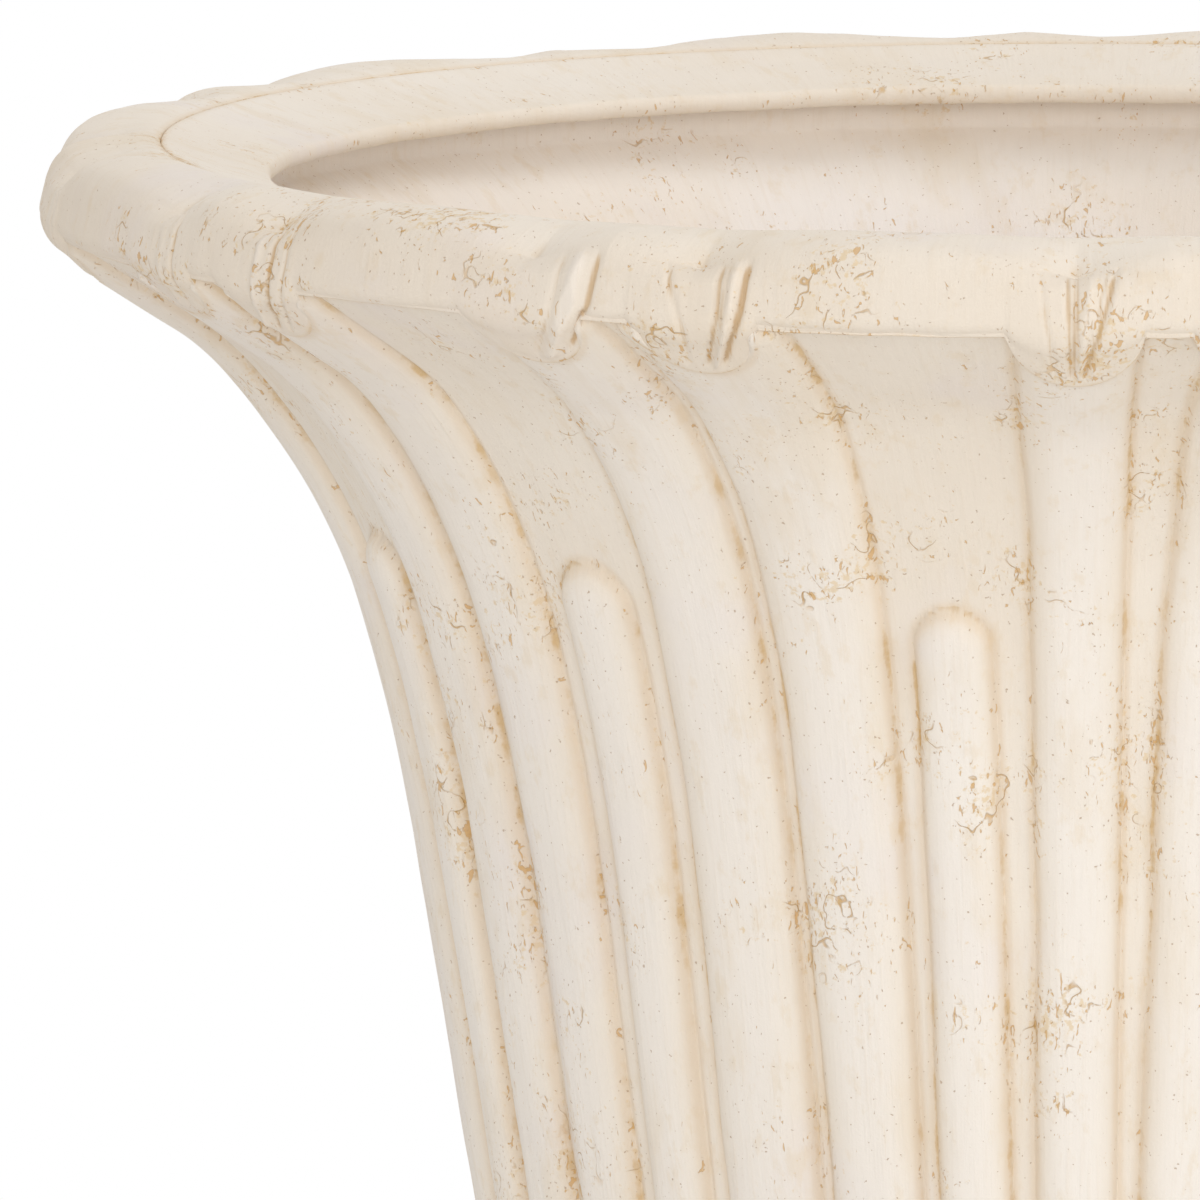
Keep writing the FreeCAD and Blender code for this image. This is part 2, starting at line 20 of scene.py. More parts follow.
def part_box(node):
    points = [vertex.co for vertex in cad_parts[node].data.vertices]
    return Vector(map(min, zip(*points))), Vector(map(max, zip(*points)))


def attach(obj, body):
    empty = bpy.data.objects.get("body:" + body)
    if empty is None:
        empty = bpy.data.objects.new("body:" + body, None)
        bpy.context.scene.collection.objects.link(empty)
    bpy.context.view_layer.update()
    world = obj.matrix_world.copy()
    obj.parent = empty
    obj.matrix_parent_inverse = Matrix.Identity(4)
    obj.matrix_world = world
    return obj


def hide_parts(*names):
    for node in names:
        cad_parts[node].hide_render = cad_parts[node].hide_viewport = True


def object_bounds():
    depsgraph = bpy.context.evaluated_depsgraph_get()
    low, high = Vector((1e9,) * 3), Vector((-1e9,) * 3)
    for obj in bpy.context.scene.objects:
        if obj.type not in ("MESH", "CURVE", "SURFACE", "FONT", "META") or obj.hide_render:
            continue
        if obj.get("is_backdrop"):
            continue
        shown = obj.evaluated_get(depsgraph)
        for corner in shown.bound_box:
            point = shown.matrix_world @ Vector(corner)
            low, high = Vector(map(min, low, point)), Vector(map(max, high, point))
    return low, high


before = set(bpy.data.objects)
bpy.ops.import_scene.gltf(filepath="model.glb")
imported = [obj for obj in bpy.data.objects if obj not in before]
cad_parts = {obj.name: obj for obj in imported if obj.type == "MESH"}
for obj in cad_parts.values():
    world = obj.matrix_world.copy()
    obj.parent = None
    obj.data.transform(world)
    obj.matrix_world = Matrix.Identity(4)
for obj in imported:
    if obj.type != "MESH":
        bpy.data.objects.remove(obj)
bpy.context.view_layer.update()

MM = 0.001
bowl_low, bowl_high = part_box("bowl_shell")
collar_low, collar_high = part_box("rim_collar")
foot_low, foot_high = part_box("pedestal_foot")
rim_radius, rim_height = bowl_high.x, bowl_high.z
seam_radius, seam_height = collar_high.x, collar_high.z
print(f"rim {rim_radius:.4f} m wide of the axis, {rim_height:.4f} m over the floor")

# %% [markdown]
# ## Camera
# The photograph looks at the left half of the rim from about five metres, a little from
# above, through a long lens.  The camera aims beside the urn, so that the axis stands near
# the right edge of the picture and the frame is filled by the rim and the flank.

# %% Camera
VIEW_AZIMUTH = math.radians(-2.8)
VIEW_ELEVATION = math.radians(7.15)
VIEW_DISTANCE = 5.0
AIM_LEFT = 0.0981
AIM_DOWN = 0.0923

toward = Vector((math.sin(VIEW_AZIMUTH) * math.cos(VIEW_ELEVATION),
                 -math.cos(VIEW_AZIMUTH) * math.cos(VIEW_ELEVATION),
                 math.sin(VIEW_ELEVATION)))
right = Vector((math.cos(VIEW_AZIMUTH), math.sin(VIEW_AZIMUTH), 0))
up = toward.cross(right)
aim = Vector((0, 0, seam_height)) - right * AIM_LEFT - up * AIM_DOWN

camera = bpy.data.objects.new("camera", bpy.data.cameras.new("camera"))
camera.data.sensor_width = 36
camera.data.lens = 750
camera.data.clip_end = 50
camera.location = aim + toward * VIEW_DISTANCE
camera.rotation_euler = (-toward).to_track_quat("-Z", "Y").to_euler()
bpy.context.scene.collection.objects.link(camera)
bpy.context.scene.camera = camera
print(f"camera at {tuple(round(c, 3) for c in camera.location)}")

# %% [markdown]
# ## Finishes
# A finish is a node tree.  Written as wires that can be added and multiplied, the tree
# reads like the recipe that it is: base paint, wash, stains, pits.

# %% Wires and finishes
class Wire:
    """The output of a node, ready for arithmetic."""

    def __init__(self, finish, socket):
        self.finish = finish
        self.socket = socket

    def __add__(self, other):
        return self.finish.math("ADD", self, other)

    def __sub__(self, other):
        return self.finish.math("SUBTRACT", self, other)

    def __rsub__(self, other):
        return self.finish.math("SUBTRACT", other, self)

    def __mul__(self, other):
        return self.finish.math("MULTIPLY", self, other)

    __radd__ = __add__
    __rmul__ = __mul__


class Finish:
    """The node tree of a material or of the world, whose nodes are added one call at a time."""

    def __init__(self, owner):
        self.owner = owner
        owner.use_nodes = True
        self.tree = owner.node_tree
        self.tree.nodes.clear()

    def add(self, kind, settings=None, sockets=None, output=0):
        node = self.tree.nodes.new(kind)
        for setting, value in (settings or {}).items():
            setattr(node, setting, value)
        for socket, value in (sockets or {}).items():
            if isinstance(value, Wire):
                self.tree.links.new(value.socket, node.inputs[socket])
            else:
                node.inputs[socket].default_value = value
        return Wire(self, node.outputs[output])

    def math(self, operation, *values):
        return self.add("ShaderNodeMath", {"operation": operation}, dict(enumerate(values)))

    def vector_math(self, operation, *values):
        return self.add("ShaderNodeVectorMath", {"operation": operation}, dict(enumerate(values)))

    def attribute(self, name):
        return self.add("ShaderNodeAttribute", {"attribute_name": name}, output="Fac")

    def noise(self, place, scale, detail=3.0, roughness=0.55, distortion=0.0):
        return self.add("ShaderNodeTexNoise", None, {
            "Vector": place, "Scale": scale, "Detail": detail, "Roughness": roughness,
            "Distortion": distortion})

    def between(self, value, low, high):
        """0 below low and 1 above high, smooth from one to the other."""
        return self.add("ShaderNodeMapRange", {"interpolation_type": "SMOOTHSTEP"}, {
            "Value": value, "From Min": low, "From Max": high})

    def blend(self, share, first, second):
        """A colour that goes from the first to the second as the share grows."""
        return self.add("ShaderNodeMix", {"data_type": "RGBA"}, {0: share, 6: first, 7: second}, 2)

    def surface(self, base, rough, bump, **sockets):
        """Close the tree with a plain surface; bump is its strength, distance and height."""
        normal = self.add("ShaderNodeBump", None, dict(zip(
            ("Strength", "Distance", "Height"), bump)))
        return self.close(self.add("ShaderNodeBsdfPrincipled", None, {
            "Base Color": base, "Roughness": rough, "Normal": normal, **sockets}))

    def close(self, surface, kind="ShaderNodeOutputMaterial"):
        node = self.tree.nodes.new(kind)
        self.tree.links.new(surface.socket, node.inputs["Surface"])
        return self.owner


def colour(red, green, blue):
    return (red, green, blue, 1.0)


# %% [markdown]
# ## Studio
# The photograph is lit softly from all round, with a little more from the front and the
# right, so a bright world does most of the work and four large lamps only shape the urn.
# The white behind it is only what the camera sees: the floor fades to white with distance
# from the urn.

# %% Floor and background
def floor_finish():
    finish = Finish(bpy.data.materials.new("studio_floor"))
    place = finish.add("ShaderNodeTexCoord", output="Object")
    reach = finish.vector_math("LENGTH", place)
    reach.socket = reach.socket.node.outputs["Value"]
    grain = finish.noise(place, 60.0)
    paper = finish.blend(grain, colour(0.86, 0.855, 0.845), colour(0.90, 0.895, 0.885))
    plain = finish.add("ShaderNodeBsdfDiffuse", None, {"Color": paper})
    white = finish.add("ShaderNodeEmission", None, {"Color": colour(1, 1, 1), "Strength": 1.0})
    ray = finish.add("ShaderNodeLightPath", output="Is Camera Ray")
    share = finish.between(reach, FADE_START, FADE_END) * ray
    return finish.close(finish.add("ShaderNodeMixShader", None, {0: share, 1: plain, 2: white}))


FLOOR_SIZE = 30.0
FADE_START, FADE_END = 0.55, 1.9

bm = bmesh.new()
bmesh.ops.create_grid(bm, x_segments=1, y_segments=1, size=FLOOR_SIZE / 2)
floor_mesh = bpy.data.meshes.new("studio_floor")
bm.to_mesh(floor_mesh)
bm.free()
floor = bpy.data.objects.new("studio_floor", floor_mesh)
bpy.context.scene.collection.objects.link(floor)
floor.data.materials.append(floor_finish())
floor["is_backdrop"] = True

world = bpy.context.scene.world or bpy.data.worlds.new("world")
bpy.context.scene.world = world
WORLD_LIGHT = 0.64


def wire_world():
    """White where the camera looks, also by way of a mirror or glass, and soft light elsewhere."""
    finish = Finish(world)
    camera_ray, glossy, through = (finish.add("ShaderNodeLightPath", output=f"Is {kind} Ray")
                                   for kind in ("Camera", "Glossy", "Transmission"))
    seen = finish.math("MAXIMUM", camera_ray, finish.math("MAXIMUM", glossy, through))
    soft = finish.add("ShaderNodeBackground", None, {
        "Color": colour(1.0, 0.985, 0.965), "Strength": WORLD_LIGHT})
    white = finish.add("ShaderNodeBackground", None, {"Color": colour(1, 1, 1)})
    finish.close(finish.add("ShaderNodeMixShader", None, {0: seen, 1: soft, 2: white}),
                 "ShaderNodeOutputWorld")


wire_world()
bpy.context.scene.view_settings.view_transform = "Standard"

# %% Lamps
LAMPS = {
    # name: (place, aimed at, width in metres, watts)
    "key": ((-0.4, -3.2, 1.4), (0, 0, 0.35), 1.6, 29.0),
    "fill": ((2.6, -2.0, 1.0), (0, 0, 0.3), 1.8, 14.0),
    "over": ((1.3, 0.1, 2.3), (-0.1, 0, 0.5), 1.2, 8.5),
    "back": ((-1.2, 2.6, 1.8), (0, 0, 0.3), 1.6, 9.0),
}
for name, (place, target, width, watts) in LAMPS.items():
    lamp = bpy.data.objects.new(name, bpy.data.lights.new(name, "AREA"))
    lamp.data.shape = "DISK"
    lamp.data.size = width
    lamp.data.energy = watts
    lamp.location = place
    lamp.rotation_euler = (Vector(target) - Vector(place)).to_track_quat("-Z", "Y").to_euler()
    bpy.context.scene.collection.objects.link(lamp)
print(f"{len(LAMPS)} lamps")

# %% [markdown]
# ## The pen
# Every turned form of the urn is one outline carried round the axis.  The pen draws such
# an outline from straights and arcs, and then tells the place and the heading at any
# distance along it.  Headings are degrees: 0 points away from the axis, 90 down.

# %% The pen
class Outline:
    """A run of straights and arcs in distance from the axis and height."""

    def __init__(self, radius, height, heading):
        self.legs = []
        self.state = (radius, height, math.radians(heading))
        self.length = 0.0

    def _leg(self, length, bend):
        radius, height, heading = self.state
        self.legs.append((self.length, radius, height, heading, bend))
        self.length += length
        end = self.at(np.array([self.length]))
        self.state = tuple(float(part[0]) for part in end)
        return self

    def line(self, length):
        return self._leg(length, 0.0)

    def arc(self, radius, heading):
        """Turn to the new heading round this radius, to the right where it grows."""
        change = math.radians(heading) - self.state[2]
        return self._leg(radius * abs(change), math.copysign(1 / radius, change))

    def corner(self, heading):
        """Turn on the spot."""
        self.state = (*self.state[:2], math.radians(heading))
        return self

    def at(self, run):
        """Distance from the axis, height and heading at these distances along."""
        starts = np.array([leg[0] for leg in self.legs])
        leg = np.clip(np.searchsorted(starts, run, side="right") - 1, 0, len(starts) - 1)
        start, radius, height, heading, bend = (
            np.array([item[part] for item in self.legs])[leg] for part in range(5))
        ahead = run - start
        turned = heading + bend * ahead
        safe = np.where(bend == 0, 1.0, bend)
        across = np.where(bend == 0, np.cos(heading) * ahead,
                          (np.sin(turned) - np.sin(heading)) / safe)
        rise = np.where(bend == 0, -np.sin(heading) * ahead,
                        (np.cos(turned) - np.cos(heading)) / safe)
        return radius + across, height + rise, turned

    def stations(self, counts):
        """Distances along the outline, with this many steps on each leg."""
        ends = [leg[0] for leg in self.legs[1:]] + [self.length]
        steps = [np.linspace(leg[0], end, count, endpoint=False)
                 for leg, end, count in zip(self.legs, ends, counts)]
        return np.concatenate(steps + [[self.length]])


# %% [markdown]
# ## Angles round the urn
# The pattern of the ribs repeats twelve times, but the urn was finished by hand and no two
# ribs are alike.  Places round it are told by the angle to the left of the rib that faces
# the camera.  Every fine skin is made as two sheets, a closely woven one for the stretch
# that the photograph shows and a coarser one for the rest.

# %% Angles and columns
FRONT_RIB = -95.0                  # the front rib's place about the axis, in degrees
WHOLE = (-16.0, 344.0)
STRETCHES = {
    # name: (from, to, columns), in degrees left of the front rib
    "seen": (-16.0, 96.0, 840),
    "rest": (96.0, 344.0, 660),
}


def run_at(row, runs):
    """The distance along an outline at these rows of its sheet."""
    return np.interp(row, np.arange(len(runs)), runs)


def apart(angles, centre):
    """Degrees from a centre, the short way round."""
    return np.mod(angles - centre + 180.0, 360.0) - 180.0


def smooth(value, low, high):
    share = np.clip((value - low) / (high - low), 0.0, 1.0)
    return share * share * (3 - 2 * share)


def span(value, *edges):
    """1 between the two middle edges, 0 outside the outer two and smooth in between."""
    return smooth(value, *edges[:2]) * (1 - smooth(value, *edges[2:]))


def pushed(radius, height, heading, out):
    """A place moved off the skin, square to an outline with this heading."""
    return radius + out * np.sin(heading), height + out * np.cos(heading)


def unevenness(around, run, size, seed):
    """Soft lumps of this size in metres on the skin, between about -1 and 1."""
    turn = np.radians(around)
    places = np.stack([np.cos(turn) * 0.17, np.sin(turn) * 0.17, run], 1) / size + seed * 7.31
    return np.array([noise.fractal(place, 1.0, 2.0, 2) for place in places])


# %% [markdown]
# ## Skins
# A turned skin could be spun from a thread of vertices, but a sheet rolled into a tube is
# made at once, however fine it is.  Each vertex starts on a flat grid, so its column tells
# the angle and its row the distance along the outline.  A shaping function then puts it
# where the hand-made surface is, and notes how deep in a crease it lies for the finish.
# The side edges of a sheet that goes all the way round are merged.

# %% Roll a sheet into a skin
def make_piece(name, bm, body, finish, nodes=()):
    """Finish a bmesh as a shaded piece that rides on its body and stands for its nodes."""
    mesh = bpy.data.meshes.new(name)
    bm.to_mesh(mesh)
    bm.free()
    mesh.shade_smooth()
    piece = bpy.data.objects.new(name, mesh)
    bpy.context.scene.collection.objects.link(piece)
    piece.data.materials.append(finish)
    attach(piece, body)
    if nodes:
        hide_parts(*nodes)
    print(f"{name}: {len(mesh.polygons)} faces")
    return piece


def rolled_sheet(rows, columns, shape, stretch=WHOLE, inward=False):
    """A sheet of rows and columns round the urn, put in place by shape(around, row).

    The outside of the skin is on the left of an outline's way along the rows.
    """
    bm = bmesh.new()
    bmesh.ops.create_grid(bm, x_segments=columns, y_segments=rows - 1, size=0.5)
    places = np.array([vertex.co for vertex in bm.verts])
    share = places[:, 0] + 0.5
    row = np.round((0.5 - places[:, 1]) * (rows - 1))
    around = stretch[0] + share * (stretch[1] - stretch[0])
    radius, height, notes = shape(around, row)
    turn = np.radians(FRONT_RIB - around)
    placed = np.stack([radius * np.cos(turn), radius * np.sin(turn), height], 1)
    for vertex, place in zip(bm.verts, placed.tolist()):
        vertex.co = place
    for note, values in notes.items():
        layer = bm.verts.layers.float.new(note)
        for vertex, value in zip(bm.verts, values.tolist()):
            vertex[layer] = value
    if stretch is WHOLE:
        edge = (share < 0.5 / columns) | (share > 1 - 0.5 / columns)
        side = [vertex for vertex, on_edge in zip(bm.verts, edge) if on_edge]
        bmesh.ops.remove_doubles(bm, verts=side, dist=1e-7)
    if not inward:
        bmesh.ops.reverse_faces(bm, faces=bm.faces)
    return bm


# %% [markdown]
# ## Ribs
# Long ribs run down from every notch of the rim, and a short rib with a round top stands
# in every wide panel.  On the real urn they were pressed into the mould by hand, so each
# one wanders, swells and narrows a little.  The photographed ribs have their own places
# here, and the others are drawn from a seeded generator.

# %% Ribs
RELIEF = 3.9 * MM
SHORT_TOP = 0.4840                  # height of the short ribs' round tops
REPEATS = 12
SEEN_FROM, SEEN_TO = -12, 85        # the photograph shows the pattern between these
random_hand = np.random.default_rng(11)


class Rib:
    """A rib: its centre and half width in degrees near the rim and at the belly."""

    def __init__(self, top, foot, half_top, half_foot, short=False, rise=0.0):
        self.centre = (top, foot)
        self.half = (half_top, half_foot)
        self.short = short
        self.top_height = SHORT_TOP + rise
        self.seed = random_hand.integers(1, 90)


SEEN_RIBS = [
    Rib(-11.0, -9.6, 3.2, 4.1),
    Rib(-0.2, -0.2, 3.5, 3.6),
    Rib(9.6, 9.2, 2.6, 3.7, short=True, rise=-0.003),
    Rib(20.4, 18.0, 4.9, 4.3),
    Rib(30.6, 28.7, 4.2, 5.3),
    Rib(39.7, 40.0, 3.3, 3.6, short=True, rise=0.002),
    Rib(50.2, 49.8, 4.4, 4.3),
    Rib(60.3, 59.9, 4.2, 4.3),
    Rib(70.0, 69.8, 3.2, 3.6, short=True),
    Rib(80.0, 80.2, 4.3, 4.3),
]


def unseen_places(steps):
    """Angles of the pattern that the photograph doesn't show, with their step in a repeat."""
    for repeat in range(REPEATS):
        for step in steps:
            nominal = (repeat * 30 + step + 180.0) % 360 - 180.0
            if not SEEN_FROM < nominal < SEEN_TO:
                yield nominal, step


def other_ribs():
    ribs = []
    for nominal, step in unseen_places((0, 10, 20)):
        short = step == 10
        lean, swell = random_hand.uniform(-0.5, 0.5, 2)
        half = (3.0 if short else 4.2) + 0.3 * swell
        ribs.append(Rib(nominal + lean, nominal - lean, half, half + (0.5 if short else 0.1),
                        short, rise=0.003 * swell))
    return ribs


ribs = SEEN_RIBS + other_ribs()
print(f"{len(ribs)} ribs, {sum(rib.short for rib in ribs)} of them short")

# %% [markdown]
# The surface of the ribs is a height over the panel.  Across a rib it rises steeply from
# a pressed line at each side to a flat crown, and the round top of a short rib is the same
# section carried round its end.  Two more numbers are noted for the paint: how near the
# surface is to a crease, and how high on a crest.  The paint darkens the creases, partly
# with the ochre ground and partly as painted shade, and lightens the crests as a painted
# highlight.

# %% The ribbed surface
FLANK_TOP, FLANK_FOOT = 0.54, 0.21
PRESS_DEPTH = 0.35 * MM  # of the pressed line beside a rib


def rib_surface(around, radius, height, run):
    """Height over the panel, crease and crest at these places."""
    fall = np.clip((FLANK_TOP - height) / (FLANK_TOP - FLANK_FOOT), 0, 1)
    relief = np.zeros_like(around)
    crease = np.zeros_like(around)
    crest = np.zeros_like(around)
    per_degree = np.radians(1.0) * radius
    for rib in ribs:
        near = np.abs(apart(around, rib.centre[0])) < 11
        if not near.any():
            continue
        down = fall[near]
        slide = unevenness(np.full(down.shape, rib.seed * 3.0), run[near], 0.06, rib.seed)
        half = rib.half[0] + (rib.half[1] - rib.half[0]) * np.sqrt(down)
        half = half * (1 + 0.05 * slide)
        centre = rib.centre[0] + (rib.centre[1] - rib.centre[0]) * np.sqrt(down) + 0.25 * slide
        side = apart(around[near], centre) / half
        width = half * per_degree[near]
        if rib.short:
            over = np.clip((height[near] - (rib.top_height - width)) / width, 0, 3)
            side = np.hypot(side, over)
        else:
            side = np.abs(side)
        inside = np.clip(1 - side ** 2.7, 0, 1)
        swell = 1 + 0.07 * slide
        rise = RELIEF * swell * inside ** 0.62
        outside = (side - 1) * width
        press = np.exp(-(outside / (0.9 * MM)) ** 2)
        clear = relief[near] < 0.3 * MM
        relief[near] = np.maximum(relief[near], rise) - PRESS_DEPTH * press * clear
        # The crease beside the rib gets the ochre line and a tan that is partly painted shade; the
        # crown gets a painted highlight.
        crease[near] = np.maximum(crease[near], np.exp(-(outside / (1.5 * MM)) ** 2))
        crest[near] = np.maximum(crest[near], inside ** 1.5)
    return relief, crease, crest


# %% [markdown]
# ## The rim's lobes
# Twelve wide and twelve narrow lobes meet at notches, one over every long rib.  The band
# of lobes overhangs the panels by a small step, and over each rib it runs down into a
# rounded dart.  So there are two outlines with the same legs, one through the middle of a
# lobe and one through a notch, and the rim is a blend of them.

# %% Outlines of the rim
LIP = 148.0          # heading of the bowl's lip: 58 degrees out of the vertical
SEAM_GAP = 0.05 * MM
SEAM_DEPTH = 4 * MM
DART_RUN = 10.6 * MM   # how far a dart runs down its rib
DART_RISE = 4.9 * MM  # and how high it lies over the panel
PANEL_RADIUS, PANEL_HEIGHT = 204.0 * MM, 540.0 * MM
CREST_RADIUS = 195.6 * MM
CREST_ARC = 21.0 * MM
UNDER = 238.0        # heading of the step under the lobes, square to the lip


def lobe_outline():
    inner = seam_radius + SEAM_GAP
    start = 360 - math.degrees(math.asin((CREST_RADIUS - inner) / CREST_ARC))
    outline = Outline(inner, seam_height - SEAM_DEPTH, 270)
    outline.line(SEAM_DEPTH).corner(start).arc(CREST_ARC, 360)
    outline.corner(0).arc(24 * MM, 20).arc(8 * MM, 78).line(7.4 * MM)
    outline.arc(3 * MM, LIP).line(0.2 * MM).arc(1.4 * MM, UNDER)
    return outline.line(0.8 * MM)


def notch_outline():
    outline = Outline(seam_radius + SEAM_GAP, seam_height - SEAM_DEPTH, 270)
    outline.line(SEAM_DEPTH - 0.3 * MM).corner(352).arc(80 * MM, 360)
    outline.corner(0).arc(24 * MM, 22).arc(7 * MM, 80)
    drop = math.radians(LIP)
    bend = Outline(*outline.state[:2], 80).arc(9 * MM, LIP).state
    rise = ((bend[0] - PANEL_RADIUS) * math.sin(drop) + (bend[1] - PANEL_HEIGHT) * math.cos(drop))
    outline.line((DART_RISE - rise) / -math.cos(drop + math.radians(10)))
    outline.arc(9 * MM, LIP).line(DART_RUN).arc(0.9 * MM, UNDER)
    return outline.line(1.6 * MM)


RIM_ROWS = (2, 12, 9, 12, 18, 12, 22, 6, 3)
lobe = lobe_outline()
notch = notch_outline()
lobe_runs = lobe.stations(RIM_ROWS)
notch_runs = notch.stations(RIM_ROWS)
ROW_CREST, ROW_SHOULDER, ROW_NOSE, _, ROW_DART, ROW_TIP = np.cumsum(RIM_ROWS)[1:7]


def along_lip(outline):
    """How far down the panel an outline ends, counted from the panel's own start."""
    end = outline.state
    drop = math.radians(LIP)
    return (end[0] - PANEL_RADIUS) * math.cos(drop) - (end[1] - PANEL_HEIGHT) * math.sin(drop)


LOBE_END, DART_END = along_lip(lobe), along_lip(notch)
FOLD_RADIUS = 197 * MM
FOLD_TOP = lobe.at(lobe_runs[ROW_SHOULDER:ROW_SHOULDER + 1])[1][0]
FOLD_TIP = notch.at(notch_runs[ROW_TIP:ROW_TIP + 1])[1][0]
print(f"lobe outline {lobe.length / MM:.1f} mm, notch outline {notch.length / MM:.1f} mm")

# %% [markdown]
# A notch isn't one clean groove.  The wet plaster was folded there, so every notch has a
# few furrows and ridges that run from the crest to the tip of the dart.  Each is told by
# its place across the dart at the top and at the tip, its half width and its depth, and a
# ridge is a furrow with a negative depth.

# %% Notches
NOTCH_HALF = 3.8     # half width of a dart in degrees
DART_MOUTH = 0.54    # how round the lower edge of a dart is: small is square


class Notch:
    """A notch of the rim with the folds in its dart."""

    def __init__(self, angle, half, reach, depth, folds):
        self.angle = angle
        self.half = half
        self.reach = reach
        self.depth = depth
        self.folds = folds


SEEN_NOTCHES = [
    Notch(-10.2, 3.6, 0.8, 0.7, [(0.3, 0.1, 0.7, 0.7)]),
    Notch(-0.3, 3.7, 1.0, 1.0, [
        (0.02, 0.04, 0.55, 0.8), (0.16, 0.10, 0.5, 0.6), (-0.62, -0.10, 0.6, 0.9),
        (-0.48, -0.04, 0.45, 0.5), (-0.24, -0.02, 0.8, -0.6), (0.60, 0.30, 0.5, 0.3)]),
    Notch(20.6, 3.7, 0.92, 1.0, [
        (0.87, 0.36, 0.7, 0.5), (-0.10, 0.10, 0.55, 0.9), (-0.22, 0.03, 0.4, 0.5),
        (-0.36, -0.03, 0.8, -0.9), (-0.56, -0.13, 0.7, 1.2)]),
    Notch(30.9, 3.8, 0.9, 1.0, [
        (-0.57, 0.04, 1.6, -1.3), (-0.84, -0.28, 0.8, 0.9), (-0.26, 0.26, 0.8, 0.5)]),
    Notch(50.3, 3.6, 0.92, 1.0, [
        (0.05, 0.35, 0.6, 1.2), (0.38, 0.62, 1.0, -0.8), (-0.35, 0.05, 0.5, 0.5)]),
    Notch(60.2, 3.6, 0.8, 0.8, [(0.0, 0.1, 0.6, 0.8), (0.4, 0.4, 1.2, -0.4)]),
    Notch(80.2, 3.8, 0.9, 0.8, [(0.2, 0.0, 0.6, 0.7), (-0.3, -0.1, 0.8, -0.4)]),
]


def other_notches():
    notches = []
    for nominal, _ in unseen_places((0, 20)):
        shift, size = random_hand.uniform(-0.6, 0.6), random_hand.uniform(0.85, 1.05)
        first, second, lean = random_hand.uniform(0.05, 0.6, 3)
        folds = [(first, 0.3 * first, 0.7, 1.0 * size), (-second, -0.2 * second, 0.6, 0.9),
                 ((first - second) / 2, 0.0, 0.9, -0.6), (-second - 0.4, -lean, 0.6, 0.5)]
        notches.append(Notch(nominal + shift, NOTCH_HALF * size, size, 0.9 * size, folds))
    return notches


notches = SEEN_NOTCHES + other_notches()


def dart_reach(around):
    """How far the band of lobes reaches down its ribs here, from 0 to 1."""
    reach = np.zeros_like(around)
    for item in notches:
        side = apart(around, item.angle) / item.half
        reach = np.maximum(reach, item.reach * np.clip(1 - side ** 2, 0, 1) ** DART_MOUTH)
    return reach


# %% Shape of the rim
SAG = 0.4 * MM       # the rim is this much lower on the far left
VALLEY = 3.9         # millimetres that the shoulders dip at a notch
SLANT_LIMIT = 0.6    # how far a fold leans at most as the skin turns out of sight


